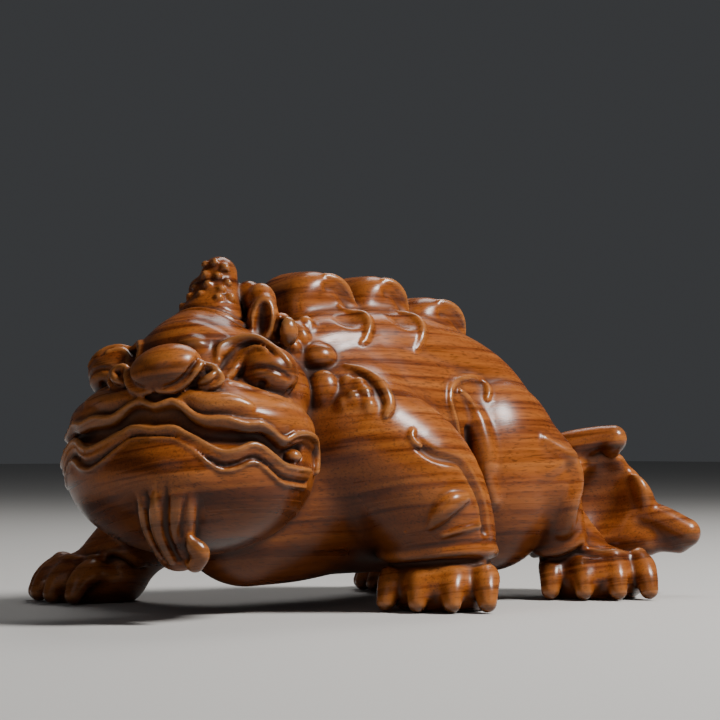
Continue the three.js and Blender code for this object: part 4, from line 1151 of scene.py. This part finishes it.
# Painted shade on the underside.
shaded = mixed("darker below", "MULTIPLY", underside_shade_share, sheltered, UNDERSIDE_SHADE)
# Painted shade in the cuts.
join(mixed("cut", "MIX", cut_shade_share, shaded, CUT_SHADE), shader.inputs["Base Color"])
rubbed = number_of("MULTIPLY_ADD", "satin", fine_rings, 0.14, 0.21)
dulled = number_of("MULTIPLY_ADD", "dull low down", shelter, 0.2, rubbed)
join(number_of("MULTIPLY_ADD", "dull in the cuts", cuts_mask, 0.3, dulled), shader.inputs["Roughness"])
shader.inputs["Specular IOR Level"].default_value = 0.27
join(number_of("MULTIPLY_ADD", "wax", wear_and_highlight, 0.3, 0.03), shader.inputs["Coat Weight"])
shader.inputs["Coat Roughness"].default_value = 0.18
bump = node("Bump", "open pores")
bump.inputs["Strength"].default_value = 0.15
bump.inputs["Distance"].default_value = 0.0001
join(pores, bump.inputs["Height"])
join(bump.outputs["Normal"], shader.inputs["Normal"])
carved.materials.clear()
carved.materials.append(rosewood)

# The studio
# A plain pale floor, one soft light from above on the beast's left, and two weak ones, behind it and in
# front, that keep the dark side readable.
FLOOR_HALF = 3
AIM = Vector((0, 0, 0.03))
WARM_WHITE = (1, 0.98, 0.96)
corners = [(FLOOR_HALF * x, FLOOR_HALF * y, 0) for x, y in ((-1, -1), (1, -1), (1, 1), (-1, 1))]
floor_mesh = bpy.data.meshes.new("floor")
floor_mesh.from_pydata(corners, [], [(0, 1, 2, 3)])
floor = bpy.data.objects.new("floor", floor_mesh)
bpy.context.scene.collection.objects.link(floor)
pale = bpy.data.materials.new("pale_floor")
pale.use_nodes = True
pale_shader = pale.node_tree.nodes["Principled BSDF"]
pale_shader.inputs["Base Color"].default_value = (0.55, 0.54, 0.52, 1)
pale_shader.inputs["Roughness"].default_value = 0.8
floor_mesh.materials.append(pale)


def lamp(name, place, size, power, colour):
    """A square light of so many metres a side, turned to the beast."""
    light = bpy.data.lights.new(name, "AREA")
    light.shape = "SQUARE"
    light.size = size
    light.energy = power
    light.color = colour
    made = bpy.data.objects.new(name, light)
    made.location = place
    made.rotation_euler = (AIM - Vector(place)).to_track_quat("-Z", "Y").to_euler()
    bpy.context.scene.collection.objects.link(made)


lamp("key", (0.44, 0.26, 0.54), 0.17, 8.5, WARM_WHITE)
lamp("back", (-0.25, 0.35, 0.55), 0.3, 1.2, WARM_WHITE)
lamp("fill", (0.5, -0.7, 0.45), 0.6, 0.45, (0.95, 0.97, 1))
sky = bpy.data.worlds.new("room")
bpy.context.scene.world = sky
sky.use_nodes = True
room_light = sky.node_tree.nodes["Background"]
room_light.inputs["Color"].default_value = (0.5, 0.52, 0.55, 1)
room_light.inputs["Strength"].default_value = 0.09

# The camera
# It stands half a metre off, low down on the left of the beast's face, and is pitched up a little, so that
# what is level with it comes on LEVEL_ROW of the square picture. FOCUS and the rows are in pixels.
CAMERA_PLACE = np.array([398.5, -306.2, 34.6])
AZIMUTH = math.radians(50)
FOCUS = 2385
FRAME_PIXELS = 720
LEVEL_ROW = 443
SENSOR = 36
lens = bpy.data.cameras.new("camera")
camera = bpy.data.objects.new("camera", lens)
lens.sensor_width = SENSOR
lens.lens = SENSOR * FOCUS / FRAME_PIXELS
lens.clip_start = 0.01
camera.location = (CAMERA_PLACE - MIDDLE) * MM
pitch = math.atan((LEVEL_ROW - FRAME_PIXELS / 2) / FOCUS)
level = math.cos(pitch)
ahead = Vector((-math.sin(AZIMUTH) * level, math.cos(AZIMUTH) * level, math.sin(pitch)))
camera.rotation_euler = ahead.to_track_quat("-Z", "Y").to_euler()
bpy.context.scene.collection.objects.link(camera)
bpy.context.scene.camera = camera
